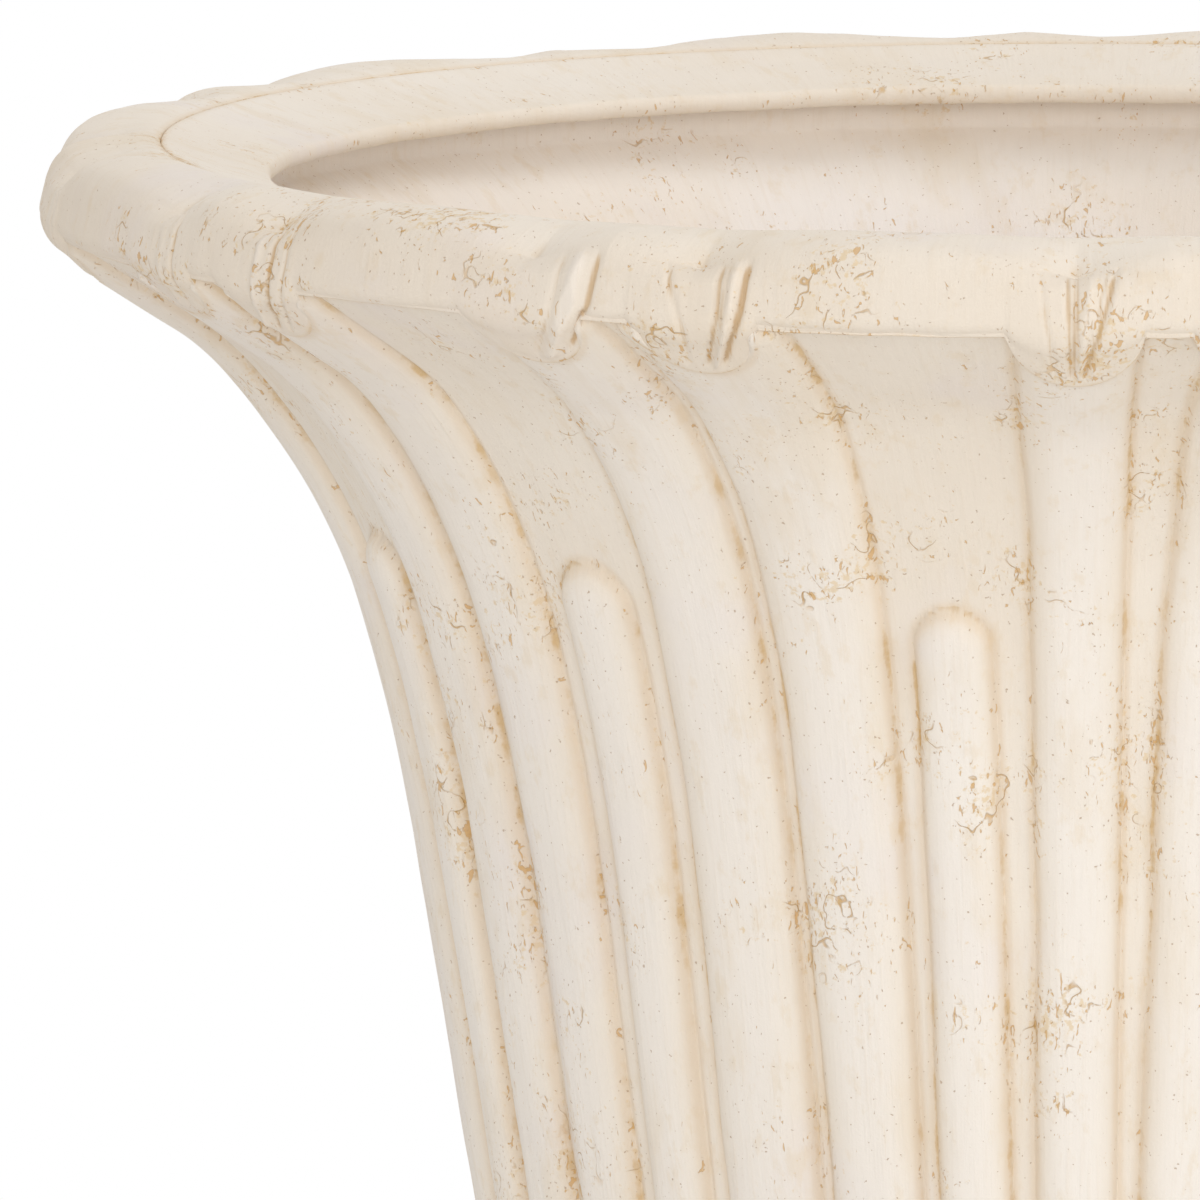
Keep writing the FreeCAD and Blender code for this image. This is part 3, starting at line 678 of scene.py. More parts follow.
def rim_shape(around, row):
    run_lobe, run_notch = run_at(row, lobe_runs), run_at(row, notch_runs)
    radius, height, heading = lobe.at(run_lobe)
    deep_radius, deep_height, deep_heading = notch.at(run_notch)
    edge_wander = 0.05 * (1 + unevenness(around, 0.0 * around, 0.018, 15))
    mask = np.maximum(dart_reach(around), edge_wander) * smooth(row, ROW_NOSE - 8, ROW_DART + 2)
    valley = np.zeros_like(around)
    pit = np.zeros_like(around)
    folded = np.zeros_like(around)
    puff = np.zeros_like(around)
    radius = radius + (deep_radius - radius) * mask
    height = height + (deep_height - height) * mask
    heading = heading + (deep_heading - heading) * mask
    run = run_lobe + (run_notch - run_lobe) * mask
    down = np.clip((FOLD_TOP - height) / (FOLD_TOP - FOLD_TIP), 0, 1)
    for item in notches:
        side = apart(around, item.angle) / item.half
        near = np.abs(side) < 3.0
        side = side[near]
        far = np.abs(side)
        valley[near] = np.maximum(valley[near], item.depth * np.exp(-(far / 0.62) ** 1.25))
        pit[near] = np.maximum(pit[near], item.depth * np.exp(-(far / 0.10) ** 2))
        puff[near] = np.maximum(puff[near], np.clip(1 - far / 2.8, 0, 1) ** 1.7)
        slant = min(abs(math.tan(math.radians(item.angle + 2.2))), SLANT_LIMIT)
        out_here = np.degrees((radius[near] - FOLD_RADIUS) / radius[near]) * slant / item.half
        for top, tip, width, depth in item.folds:
            line = top + (tip - top) * down[near] - out_here
            across = (side - line) * item.half * 3.5 * MM
            folded[near] += item.depth * depth * np.exp(-(across / (width * MM)) ** 2)
    hold = smooth(row, 2, ROW_CREST)
    on_shoulder = span(row, ROW_CREST - 9, ROW_SHOULDER + 2, ROW_SHOULDER + 5, ROW_NOSE + 5)
    on_dart = span(row, ROW_SHOULDER + 3, ROW_NOSE + 1, ROW_TIP - 9, ROW_TIP - 2)
    to_tip = 1 - smooth(row, ROW_DART, ROW_TIP - 3)
    whole = 1 - smooth(row, ROW_TIP - 3, ROW_TIP)
    lumps = unevenness(around, run, 0.030, 3)
    ripple = unevenness(around, run, 0.009, 5)
    sag = SAG * span(around, 62, 95, 160, 186) * hold
    sink = (1.2 + 1.0 * on_shoulder) * puff * hold * to_tip + VALLEY * valley * on_shoulder
    sink = sink + folded * on_dart
    sink = sink + (0.05 + 0.40 * lumps + 0.16 * ripple) * whole * (0.2 + 0.8 * hold)
    sink = sink * MM
    radius, height = pushed(radius, height, heading, -sink)
    radius = np.minimum(radius, rim_radius - 0.05 * MM)
    height = np.minimum(height - sag * to_tip, rim_height - 0.05 * MM)
    seam = np.exp(-((row - 2) / 1.5) ** 2)
    pit = pit * np.exp(-((row - ROW_SHOULDER) / 5.0) ** 2)
    crease = np.maximum(np.clip(0.6 * folded * on_dart, 0, 0.7), np.maximum(seam, pit))
    # The last rows, the step under the band of lobes, get a crease share: painted shade under the
    # lobes.
    crease = np.maximum(crease, smooth(row, ROW_TIP - 3, ROW_TIP + 1))
    # Fold ridges and the middles of the lobes get a crest share, which paints a highlight on them.
    crest = np.clip(-1.2 * folded * on_dart, 0, 1) + 0.25 * (1 - puff) * to_tip * hold
    pitted = smooth(row, ROW_CREST, ROW_NOSE)
    fold = np.clip(1.2 * folded * on_dart, 0, 1.2)
    notes = {"along": run, "crease": crease, "crest": np.clip(crest, 0, 1.5), "fold": fold,
             "pitted": pitted}
    return radius, height, notes


# %% [markdown]
# ## The flank
# Under the lobes the bowl's panel runs inwards along the lip, turns down through the
# throat and falls in one long hollow curve to the belly.  The outline is the panel, and
# the ribs stand on it.

# %% Outline of the flank
BELLY_TOP = 209.0 * MM
FLANK_LEAN = 99.4    # heading of the flank where it falls to the belly
FLANK_BENDS = ((53 * MM, 130.7), (132 * MM, 107.5), (393 * MM, FLANK_LEAN))
TUCK = 4.6 * MM      # the panel starts this far under the lobes
LEFT_FULLNESS = 1.2 * MM  # the panel is fuller at the far left
COVERED = 6.5 * MM   # and lies this much deeper where the band covers it


def flank_outline():
    heading = math.radians(LIP)
    outline = Outline(PANEL_RADIUS - TUCK * math.cos(heading),
                      PANEL_HEIGHT + TUCK * math.sin(heading), LIP)
    outline.line(25.7 * MM + TUCK)
    for bend, turn in FLANK_BENDS:
        outline.arc(bend, turn)
    left = (outline.state[1] - BELLY_TOP) / math.sin(outline.state[2])
    return outline.line(left)


flank = flank_outline()
print(f"flank outline {flank.length / MM:.1f} mm")
THROAT_RUN = 0.125


def flank_shape(start, end, rows):
    """A shaping function for the stretch of the flank between two distances."""
    runs = np.linspace(start, end, rows)

    def shape(around, row):
        run = run_at(row, runs)
        radius, height, heading = flank.at(run)
        relief, crease, crest = rib_surface(around, radius, height, run)
        lumps = unevenness(around, run * 0.6, 0.022, 7)
        ripple = unevenness(around, run * 0.5, 0.007, 9)
        reach = dart_reach(around)
        edge = TUCK + LOBE_END + (DART_END - LOBE_END) * reach
        out = relief * smooth(run, 0.3 * MM, TUCK + LOBE_END + 1.5 * MM)
        out = out + (0.28 * lumps + 0.09 * ripple) * MM
        out = out + LEFT_FULLNESS * (smooth(around, 68, 84) - smooth(around, 100, 116)) * (
            1 - smooth(run, 40 * MM, 110 * MM))
        covered = COVERED * smooth(reach, 0.35, 0.75)
        out = out - covered * (1 - smooth(run, edge - 7 * MM, edge - 0.8 * MM))
        radius, height = pushed(radius, height, heading, out)
        # Where the panel goes in under the band of lobes it gets a crease share: a brown line, and
        # in the tan painted shade under the lobes.
        crease = np.maximum(crease, 0.9 * np.exp(-((run - edge) / (2.0 * MM)) ** 2))
        notes = {"along": run + 0.1, "crease": crease, "crest": crest,
                 "pitted": 0.35 * crease + 0.3 * (1 - smooth(run, 20 * MM, 90 * MM))}
        return radius, height, notes

    return shape


# %% [markdown]
# ## Plaster paint
# The casting was painted cream over an ochre ground, which shows in the creases as a brown
# line and a tan wash.  The crests are painted lighter as a painted highlight, and the worn
# edges of the plinth are lighter too.  The cream is broken by pits that run with the ribs.
# Brush marks are fine streaks along the surface, which needs a coordinate that turns with
# the urn and runs down its outline.

# %% Plaster paint
def plaster_finish(name, thin=(0.85, 0.765, 0.66), thick=(0.88, 0.81, 0.72)):
    finish = Finish(bpy.data.materials.new(name))
    place = finish.add("ShaderNodeTexCoord", output="Object")
    along = finish.attribute("along")
    crease = finish.attribute("crease")
    crest = finish.attribute("crest")
    fold = finish.attribute("fold")
    pitted = finish.attribute("pitted")

    level = finish.vector_math("MULTIPLY", place, (1, 1, 0))
    about = finish.vector_math("SCALE", finish.vector_math("NORMALIZE", level))
    about.socket.node.inputs["Scale"].default_value = 0.17
    def streaks(stretch):
        down = finish.add("ShaderNodeCombineXYZ", None, {"Z": along * stretch})
        return finish.vector_math("ADD", about, down)

    blotch = finish.noise(place, 14.0, 2.0)
    bloom = finish.noise(finish.vector_math("ADD", place, (0.7, 2.3, 1.9)), 24.0, 3.0, 0.55)
    wash = finish.noise(streaks(0.4), 55.0, 4.0, 0.6)
    mottle = finish.noise(streaks(0.6), 190.0, 4.0, 0.65)
    brush = finish.noise(streaks(0.06), 900.0, 2.0, 0.6)
    fleck_field = finish.noise(streaks(0.45), 950.0, 2.0, 0.5, 0.8)
    worm_field = finish.noise(place, 105.0, 2.0, 0.5)
    patch = finish.noise(finish.vector_math("ADD", place, (3.1, 1.7, 0.4)), 42.0, 2.0, 0.5)
    dots = finish.noise(place, 1300.0, 1.0, 0.4)
    stipple = finish.noise(place, 620.0, 3.0, 0.6)
    grain = finish.noise(place, 2400.0, 2.0, 0.5)

    strands = finish.noise(streaks(0.03), 1500.0, 1.0, 0.5)
    folded = finish.between(fold + 1.4 * strands + 0.7 * mottle, 1.35, 2.15)
    fleck_sum = fleck_field + 0.5 * patch + 0.05 * crease + 0.045 * pitted
    flecks = finish.between(fleck_sum, 0.975, 1.02)
    stipple_sum = stipple + 0.8 * patch + 0.05 * pitted + 0.05 * crease
    stipple_field = finish.between(stipple_sum, 1.09, 1.22)
    specks = finish.between(dots + 0.12 * wash, 0.80, 0.84)
    off_line = finish.math("ABSOLUTE", worm_field - 0.5)
    worm_fields = finish.between(patch + 0.07 * pitted, 0.60, 0.67)
    worms = (1 - finish.between(off_line, 0.002, 0.011)) * worm_fields
    worms = worms * finish.between(mottle, 0.45, 0.55)
    line = finish.between(crease + 0.9 * mottle, 1.36, 1.56) * finish.between(wash, 0.40, 0.60)
    # Tan in and beside the creases: partly the ochre ground, partly painted shade in the creases,
    # under the lobes and the ring, and deeper in the bowl.
    hollow = finish.between(crease + 0.45 * mottle, 0.30, 1.25)
    # Lighter cream where the crest note is high: a painted highlight on the crowns of ribs, lobes
    # and fold ridges and on the ring's top, painted light on the inside's top under the ring, and
    # wear on the plinth's edges.
    chalk_and_highlight = finish.between(crest + 0.6 * wash - 0.3, 0.2, 1.2)

    cream = finish.blend(finish.between(blotch, 0.3, 0.7), colour(*thin), colour(*thick))
    layers = [
        # (share, tint), each over the one before
        (finish.between(bloom, 0.52, 0.70) * 0.55, (0.82, 0.75, 0.72)),
        (chalk_and_highlight * 0.75, (0.915, 0.86, 0.80)),
        (finish.between(wash, 0.50, 0.72) * 0.40, (0.80, 0.68, 0.52)),
        (finish.between(mottle, 0.54, 0.70) * (0.26 + 0.16 * pitted), (0.78, 0.63, 0.43)),
        (pitted * (0.25 + 0.45 * wash), (0.79, 0.685, 0.565)),
        (stipple_field * 0.50, (0.74, 0.53, 0.25)),
        (hollow * 0.42, (0.76, 0.61, 0.44)),
        (finish.between(brush, 0.5, 0.75) * 0.12, (0.75, 0.62, 0.47)),
        (line * 0.66, (0.62, 0.40, 0.15)),
        (folded * 0.60, (0.56, 0.35, 0.14)),
        (flecks * 0.70, (0.66, 0.385, 0.13)),
        (worms * 0.70, (0.62, 0.365, 0.12)),
        (specks * 0.55, (0.42, 0.25, 0.12)),
    ]
    paint = cream
    for share, tint in layers:
        paint = finish.blend(share, paint, colour(*tint))
    relief = brush * 0.30 + grain * 0.14 + wash * 0.9 + mottle * 0.35
    relief = relief - flecks * 0.5 - worms * 0.8 - specks * 0.3
    rough = 0.62 + 0.2 * wash + 0.12 * flecks
    return finish.surface(paint, rough, (0.55, 0.9 * MM, relief), **{"Specular IOR Level": 0.25})


plaster = plaster_finish("plaster_paint")
# The inside's copy of the paint is lighter and pinker than the outside's: painted light in the
# shade of the bowl and the foot's hollow.
plaster_inside_lightened = plaster_finish("plaster_inside_lightened", (0.885, 0.80, 0.705), (0.905, 0.85, 0.81))

# %% Rim and flank pieces
SHELL = ["bowl_shell"]
SKIN_ROWS = 104
THROAT = flank_shape(0.0, THROAT_RUN, SKIN_ROWS)
LOWER_FLANK = flank_shape(THROAT_RUN, flank.length, SKIN_ROWS)
for stretch, (start, end, columns) in STRETCHES.items():
    for name, rows, shape in (("rim_lobes", len(lobe_runs), rim_shape),
                              ("bowl_throat", SKIN_ROWS, THROAT),
                              ("bowl_flank", SKIN_ROWS, LOWER_FLANK)):
        sheet = rolled_sheet(rows, columns, shape, (start, end))
        make_piece(f"{name}_{stretch}", sheet, "urn", plaster, SHELL)

# %% [markdown]
# ## The plain ring round the mouth
# Inside the lobes lies a plain ring that slopes a little into the mouth and ends in a soft
# nose with an undercut below it.  Its inner edge was smoothed with a wet brush, so it
# wavers.

# %% Collar ring
COLLAR_MOUTH = 163 * MM
COLLAR_SLOPE = 16.0
COLLAR_NOSE = 2.5 * MM
COLLAR_LEDGE = 14 * MM   # the ring's underside, seen under the nose
COLLAR_EDGE = 0.6 * MM   # rounding of the ring's outer edge, beside the seam
COLLAR_STEPS = (8, 10, 10, 34, 5, 3)
WAVER = 1.4 * MM         # how far the ring's inner edge wavers


def collar_outline():
    """From under the nose up round it, out along the ring and down into the seam."""
    slope = math.radians(COLLAR_SLOPE)
    flat = seam_radius - COLLAR_MOUTH - COLLAR_NOSE * (1 - math.sin(slope))
    rise = (flat - COLLAR_EDGE * (1 + math.sin(slope))) / math.cos(slope)
    top = seam_height - rise * math.sin(slope) - COLLAR_NOSE * (1 + math.cos(slope))
    outline = Outline(COLLAR_MOUTH + COLLAR_NOSE + COLLAR_LEDGE, top, 180).line(COLLAR_LEDGE)
    outline.arc(COLLAR_NOSE, 270).arc(COLLAR_NOSE, 360 - COLLAR_SLOPE)
    return outline.line(rise).arc(COLLAR_EDGE, 450).line(4 * MM)


collar = collar_outline()
collar_runs = collar.stations(COLLAR_STEPS)


def collar_shape(around, row):
    run = run_at(row, collar_runs)
    radius, height, heading = collar.at(run)
    waver = unevenness(around, run * 0.3, 0.055, 21)
    lumps = unevenness(around, run, 0.016, 23)
    inner = 1 - smooth(row, 18, 40)
    outer = smooth(row, 50, 62)
    out = (-0.35 - 0.30 * np.abs(lumps)) * MM * (1 - outer)
    radius, height = pushed(radius, height, heading, out)
    radius = np.minimum(radius + WAVER * waver * inner, seam_radius)
    # The seam beside the ring is a real crease; the nose and undercut get a crease share as
    # painted shade, and the top of the ring a crest share as a painted highlight.
    crease = np.maximum(smooth(row, 59, 64), 0.35 * inner)
    notes = {"along": 0.3 + run, "crease": crease, "crest": 0.5 * (1 - inner)}
    return radius, height, notes


make_piece("rim_collar_ring", rolled_sheet(len(collar_runs), 840, collar_shape),
           "urn", plaster, ["rim_collar"])

# %% [markdown]
# ## Inside of the bowl
# Below the ring an undercut leads to the inner wall, which follows the flank one wall
# thickness inside and ends in a flat floor.  It was only roughly wiped, so it is lumpier
# than the outside.

# %% Inside wall
LEDGE_RADIUS = 178 * MM
INSIDE_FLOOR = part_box("bolt_seal")[0].z
FLOOR_DISC = 45 * MM
WALL = 15 * MM


def inside_outline():
    """From the ledge under the ring down the inner wall to the edge of the floor disc."""
    outline = Outline(LEDGE_RADIUS, collar_low.z + 4 * MM, 90)
    outline.line(9.0 * MM).corner(LIP).line(4.4 * MM)
    for bend, turn in FLANK_BENDS:
        outline.arc(bend + WALL, turn)
    down = (outline.state[1] - 202 * MM) / math.sin(outline.state[2])
    outline.line(down).arc(29 * MM, 180)
    return outline.line(outline.state[0] - FLOOR_DISC)


inside = inside_outline()
INSIDE_STEPS = (4, 3, 14, 26, 30, 44, 12, 6)
inside_runs = inside.stations(INSIDE_STEPS)
print(f"inside wall {inside.length / MM:.0f} mm down to a floor at {inside.state[1] / MM:.1f} mm")


def inside_shape(around, row):
    run = run_at(row, inside_runs)
    radius, height, heading = inside.at(run)
    lumps = unevenness(around, run, 0.035, 31)
    ripple = unevenness(around, run, 0.011, 33)
    fade = smooth(row, 2, 9) * (1 - smooth(row, len(inside_runs) - 8, len(inside_runs) - 1))
    out = (-0.9 * lumps - 0.35 * ripple) * MM * fade
    radius, height = pushed(radius, height, heading, out)
    # The top of the wall under the ring gets a crest share and is painted lighter, painted light
    # in the undercut's shade; further down the wall is painted a little darker.
    deeper = smooth(run, 14 * MM, 45 * MM)
    notes = {"along": 0.5 + run, "crease": 0.25 * deeper, "crest": 1.2 * (1 - deeper)}
    return radius, height, notes


make_piece("bowl_inside", rolled_sheet(len(inside_runs), 480, inside_shape, inward=True),
           "urn", plaster_inside_lightened, SHELL)


# %% [markdown]
# ## Belly and stem
# Under the flank a bead runs round the belly, which turns in to a short stem with a flat
# ring at its end.  The ring is what stands on the foot.  A soft fillet lies in every inner
# corner, because brushed plaster and paint never leave a sharp one.

# %% Belly of the bowl
BEAD_HALF, BEAD_BULGE = 7.0 * MM, 1.15
STEM_RADIUS, RING_RADIUS = 50 * MM, 57 * MM
RING_TOP = bowl_low.z + 11 * MM


def bead(outline, half, bulge, heading):
    """A half round bead across this heading, fuller than its chord by the bulge."""
    turn = math.degrees(math.asin(1 / bulge))
    return outline.corner(heading - turn).arc(half * bulge, heading + turn).corner(heading)


def belly_outline():
    radius, height, _ = (float(part[0]) for part in flank.at(np.array([flank.length])))
    outline = bead(Outline(radius, height, 0), BEAD_HALF, BEAD_BULGE, FLANK_LEAN).arc(44 * MM, 180)
    outline.line(outline.state[0] - STEM_RADIUS - 2 * MM).arc(2 * MM, 90)
    outline.line(outline.state[1] - RING_TOP - 1.5 * MM).arc(1.5 * MM, 0)
    outline.line(RING_RADIUS - outline.state[0] - 2 * MM).arc(2 * MM, 90)
    return outline.line(outline.state[1] - bowl_low.z - 0.8 * MM).arc(0.8 * MM, 180).line(3 * MM)


def turned_shape(outline, runs, corners, lump=0.3, seed=41, relief=None):
    """A shaping function for a plain turned form whose creases lie at these rows."""
    def shape(around, row):
        run = run_at(row, runs)
        radius, height, heading = outline.at(run)
        lumps = unevenness(around, run, 0.024, seed)
        ripple = unevenness(around, run, 0.008, seed + 2)
        out = (lump * lumps + 0.1 * ripple - lump) * MM
        crease = np.zeros_like(run)
        for corner in corners:
            crease = np.maximum(crease, np.exp(-((run - runs[corner]) / (1.6 * MM)) ** 2))
        # Turned forms get an even crest share; on the foot's ribs the crowns get it instead and
        # are painted lighter, as a painted highlight.
        crest = 0.6 * np.ones_like(run)
        if relief:
            raised, beside, crown = relief(around, radius, run)
            out = out + raised
            crease, crest = np.maximum(crease, beside), crown
        radius, height = pushed(radius, height, heading, out)
        return radius, height, {"along": 0.7 + run, "crease": crease, "crest": crest}
    return shape


def turned_piece(name, outline, steps, corners, columns, nodes, **looks):
    runs = outline.stations(steps)
    rows = np.cumsum((0,) + steps)
    shape = turned_shape(outline, runs, [rows[corner] for corner in corners], **looks)
    return make_piece(name, rolled_sheet(len(runs), columns, shape), "urn",
                      plaster, nodes)


turned_piece("bowl_belly", belly_outline(), (18, 26, 4, 5, 3, 4, 4, 4, 10, 3, 2), (0, 1, 4, 6),
             480, SHELL)

# %% [markdown]
# ## Pedestal foot
# The foot flares from a small flange through a bead and a deep hollow curve, the scotia,
# to a fat torus on the plinth.  Twenty-four thin ribs lie in the scotia.  The photograph
# doesn't show the foot, so its forms repeat the bowl's.

# %% Foot
SCOTIA_SWEEP = 64 * MM
SCOTIA_LEG = 6
FOOT_RIBS, FOOT_RIB_HALF, FOOT_RIB_RELIEF = 24, 4.4 * MM, 2.6 * MM
PLINTH_HEIGHT = 27 * MM
PLINTH_TOP = foot_low.z + PLINTH_HEIGHT


def foot_outline():
    outline = Outline(40 * MM, foot_high.z, 0).line(15 * MM).arc(2 * MM, 90).line(4.2 * MM)
    outline.arc(1.8 * MM, 180).line(2.2 * MM)
    bead(outline, 7.0 * MM, 1.05, 90).corner(90).arc(SCOTIA_SWEEP, 0)
    outline.line(8 * MM).arc(1.0 * MM, 90)
    outline.line(outline.state[1] - PLINTH_TOP - 18 * MM)
    return bead(outline, 9.0 * MM, 1.05, 90)


def foot_ribs(around, radius, run):
    """Height, crease and crest of the thin ribs in the scotia."""
    spacing = 360 / FOOT_RIBS
    off = np.abs(np.mod(around - 2.5 + spacing / 2, spacing) - spacing / 2)
    across = off * np.radians(1) * radius
    ends = (foot.legs[SCOTIA_LEG][0], foot.legs[SCOTIA_LEG + 1][0] - 2 * MM)
    inside = (run > ends[0]) & (run < ends[1])
    past = np.clip(run - (ends[1] - FOOT_RIB_HALF), 0, None)
    side = np.hypot(across, past) / FOOT_RIB_HALF
    crown = np.clip(1 - side ** 2.4, 0, 1) * inside
    beside = np.exp(-((side - 1) * FOOT_RIB_HALF / (1.4 * MM)) ** 2) * inside
    return FOOT_RIB_RELIEF * crown ** 0.6, beside, crown


foot = foot_outline()
turned_piece("foot_column", foot, (6, 5, 3, 4, 3, 18, 74, 6, 4, 4, 26), (4, 5, 6, 8, 10),
             600, ["pedestal_foot"], relief=foot_ribs)

# %% [markdown]
# The plinth is a square slab with worn edges.  A cube is bevelled, cut into small faces and
# moved a little by noise.  The foot is hollow, so the slab's two flat faces are opened and
# their rims are carried in to the round hollow.

# %% Plinth
PLINTH_HALF = foot_high.x
HOLLOW_RADIUS = 112 * MM
# A ring round the torus's foot, where the foot stands on the plinth, gets the crease note: ochre
# wash and painted shade in that corner.
WASH_AND_SHADE_RADIUS, WASH_AND_SHADE_WIDTH, WASH_AND_SHADE_LEVEL = 124 * MM, 3 * MM, 28 * MM  # round the torus's foot
HOLLOW_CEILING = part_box("lower_washer")[1].z


def verts_of(made):
    return [item for item in made if isinstance(item, bmesh.types.BMVert)]


def note_layers(bm):
    """The three notes that the plaster paint reads, as new layers."""
    return [bm.verts.layers.float.new(note) for note in ("along", "crease", "crest")]


def split_long_edges(bm):
    for _ in range(6):
        long_edges = [edge for edge in bm.edges if edge.calc_length() > 5 * MM]
        bmesh.ops.subdivide_edges(bm, edges=long_edges, cuts=1, use_grid_fill=True)


def plinth():
    bm = bmesh.new()
    bmesh.ops.create_cube(bm, size=1.0)
    for vertex in bm.verts:
        side = PLINTH_HALF - 0.2 * MM
        vertex.co = (math.copysign(side, vertex.co.x), math.copysign(side, vertex.co.y),
                     PLINTH_TOP if vertex.co.z > 0 else foot_low.z)
    upright = [edge for edge in bm.edges if abs(edge.verts[0].co.z - edge.verts[1].co.z) > MM]
    bmesh.ops.bevel(bm, geom=upright, offset=4 * MM, segments=5, profile=0.5, affect="EDGES",
                    material=-1)
    level = [edge for edge in bm.edges
             if abs(edge.verts[0].co.z - edge.verts[1].co.z) < 1e-6]
    bmesh.ops.bevel(bm, geom=level, offset=2.2 * MM, segments=4, profile=0.5, affect="EDGES",
                    material=-1)
    split_long_edges(bm)
    for level, opening in ((foot_low.z, HOLLOW_RADIUS), (PLINTH_TOP, HOLLOW_RADIUS + 2 * MM)):
        flat = [face for face in bm.faces if abs(face.normal.z) > 0.99
                and abs(face.calc_center_median().z - level) < 0.1 * MM]
        bmesh.ops.delete(bm, geom=flat, context="FACES")
        rim = [edge for edge in bm.edges
               if edge.is_boundary and abs(edge.verts[0].co.z - level) < 0.1 * MM]
        for vertex in verts_of(bmesh.ops.extrude_edge_only(bm, edges=rim)["geom"]):
            vertex.co.xy = vertex.co.xy.normalized() * opening
    split_long_edges(bm)
    bmesh.ops.recalc_face_normals(bm, faces=bm.faces)
    along, crease, crest = note_layers(bm)
    for vertex in bm.verts:
        x, y, z = vertex.co
        wear = noise.fractal(vertex.co / 0.022, 1.0, 2.0, 3)
        worn = smooth(max(abs(x), abs(y)), PLINTH_HALF - 6 * MM, PLINTH_HALF)
        if z > foot_low.z + MM:
            vertex.co -= vertex.normal * (0.25 + 0.3 * wear) * MM * (0.4 + worn)
        vertex[along] = 1.3 + z
        # Crease share in the ring at the torus's foot: ochre wash and painted shade.
        off_wash_and_shade = (math.hypot(x, y) - WASH_AND_SHADE_RADIUS) / WASH_AND_SHADE_WIDTH
        vertex[crease] = math.exp(-off_wash_and_shade ** 2) if z > WASH_AND_SHADE_LEVEL else 0.0
        vertex[crest] = float(worn)
    return bm


make_piece("plinth", plinth(), "urn", plaster, ["pedestal_foot"])

# %% Hollow of the foot
HOLLOW_SWEEP = 77 * MM


def hollow_outline():
    """Up inside the plinth and over the arc to the ceiling."""
    centre = (STEM_RADIUS + SCOTIA_SWEEP, foot_high.z - 22 * MM)
    first = math.asin((centre[0] - HOLLOW_RADIUS) / HOLLOW_SWEEP)
    last = math.acos((centre[1] - HOLLOW_CEILING) / HOLLOW_SWEEP)
    start = centre[1] - HOLLOW_SWEEP * math.cos(first)
    outline = Outline(HOLLOW_RADIUS, foot_low.z, 270).line(start - foot_low.z)
    outline.corner(180 + math.degrees(first)).arc(HOLLOW_SWEEP, 180 + math.degrees(last))
    return outline.corner(180).line(1.0 * MM)


hollow = hollow_outline()
turned_piece("foot_hollow", hollow, (12, 40, 2), (1, 2), 240, ["pedestal_foot"], lump=0.2,
             seed=51)
CEILING_EDGE = hollow.state[0]
print(f"hollow is {CEILING_EDGE / MM:.1f} mm wide at its ceiling, {HOLLOW_CEILING / MM:.0f} mm up")

# %% [markdown]
# ## Floors with drain holes
# Three drain holes and the bolt's hole go through the bowl's floor, the gasket and the top
# of the foot.  A disc with round holes is a flat fill between circles, and the walls of the
# holes are the circles carried through.

# %% Pierced discs
DRAIN_CIRCLE, DRAIN_RADIUS = 26.5 * MM, 7.5 * MM
DRAIN_ANGLES = (90, 210, 330)
BOLT_HOLE = 5.5 * MM


def drain_place(angle):
    return (DRAIN_CIRCLE * math.cos(math.radians(angle)),
            DRAIN_CIRCLE * math.sin(math.radians(angle)))


def ring_of(bm, centre, radius, height, segments):
    ring = bmesh.ops.create_circle(bm, segments=segments, radius=radius)["verts"]
    bmesh.ops.translate(bm, verts=ring, vec=(*centre, height))
    return list({edge for vertex in ring for edge in vertex.link_edges})


def pierced_disc(name, edge_radius, height, far, nodes):
    """A floor at this height whose holes go through to the far height."""
    bm = bmesh.new()
    _, crease, _ = note_layers(bm)
    edges = ring_of(bm, (0, 0), edge_radius, height, 160)
    holes = []
    inward = math.copysign(0.8 * MM, far - height)
    for centre, radius in [(drain_place(angle), DRAIN_RADIUS) for angle in DRAIN_ANGLES] + [
            ((0, 0), BOLT_HOLE)]:
        holes.append((centre, radius, ring_of(bm, centre, radius + 0.8 * MM, height, 48)))
    bmesh.ops.triangle_fill(bm, use_beauty=True, edges=edges + [e for h in holes for e in h[2]])
    for centre, radius, ring in holes:
        for stage, depth in ((1, inward), (2, far - height - inward)):
            made = bmesh.ops.extrude_edge_only(bm, edges=ring)["geom"]
            verts = verts_of(made)
            bmesh.ops.translate(bm, verts=verts, vec=(0, 0, depth))
            if stage == 1:
                for vertex in verts:
                    offset = vertex.co.xy - Vector(centre)
                    vertex.co.xy = Vector(centre) + offset.normalized() * radius
            ring = [item for item in made if isinstance(item, bmesh.types.BMEdge)
                    and all(end in verts for end in item.verts)]
            for vertex in verts:
                vertex[crease] = 0.8
    bmesh.ops.recalc_face_normals(bm, faces=bm.faces)
    flat = max(bm.faces, key=lambda face: face.calc_area())
    if flat.normal.z * (height - far) < 0:
        bmesh.ops.reverse_faces(bm, faces=bm.faces)
    return make_piece(name, bm, "urn", plaster_inside_lightened, nodes)


pierced_disc("bowl_floor", FLOOR_DISC + 0.3 * MM, INSIDE_FLOOR, bowl_low.z, SHELL)
pierced_disc("foot_ceiling", CEILING_EDGE + 0.3 * MM, HOLLOW_CEILING, foot_high.z,
             ["pedestal_foot"])

# %% [markdown]
# ## Rubber and zinc
# The gasket, the seal, the plugs and the pads are black rubber with a dusty bloom.  The
# bolt, its washers and the wing nut are zinc plated, with the cloudy spangle of the bath.

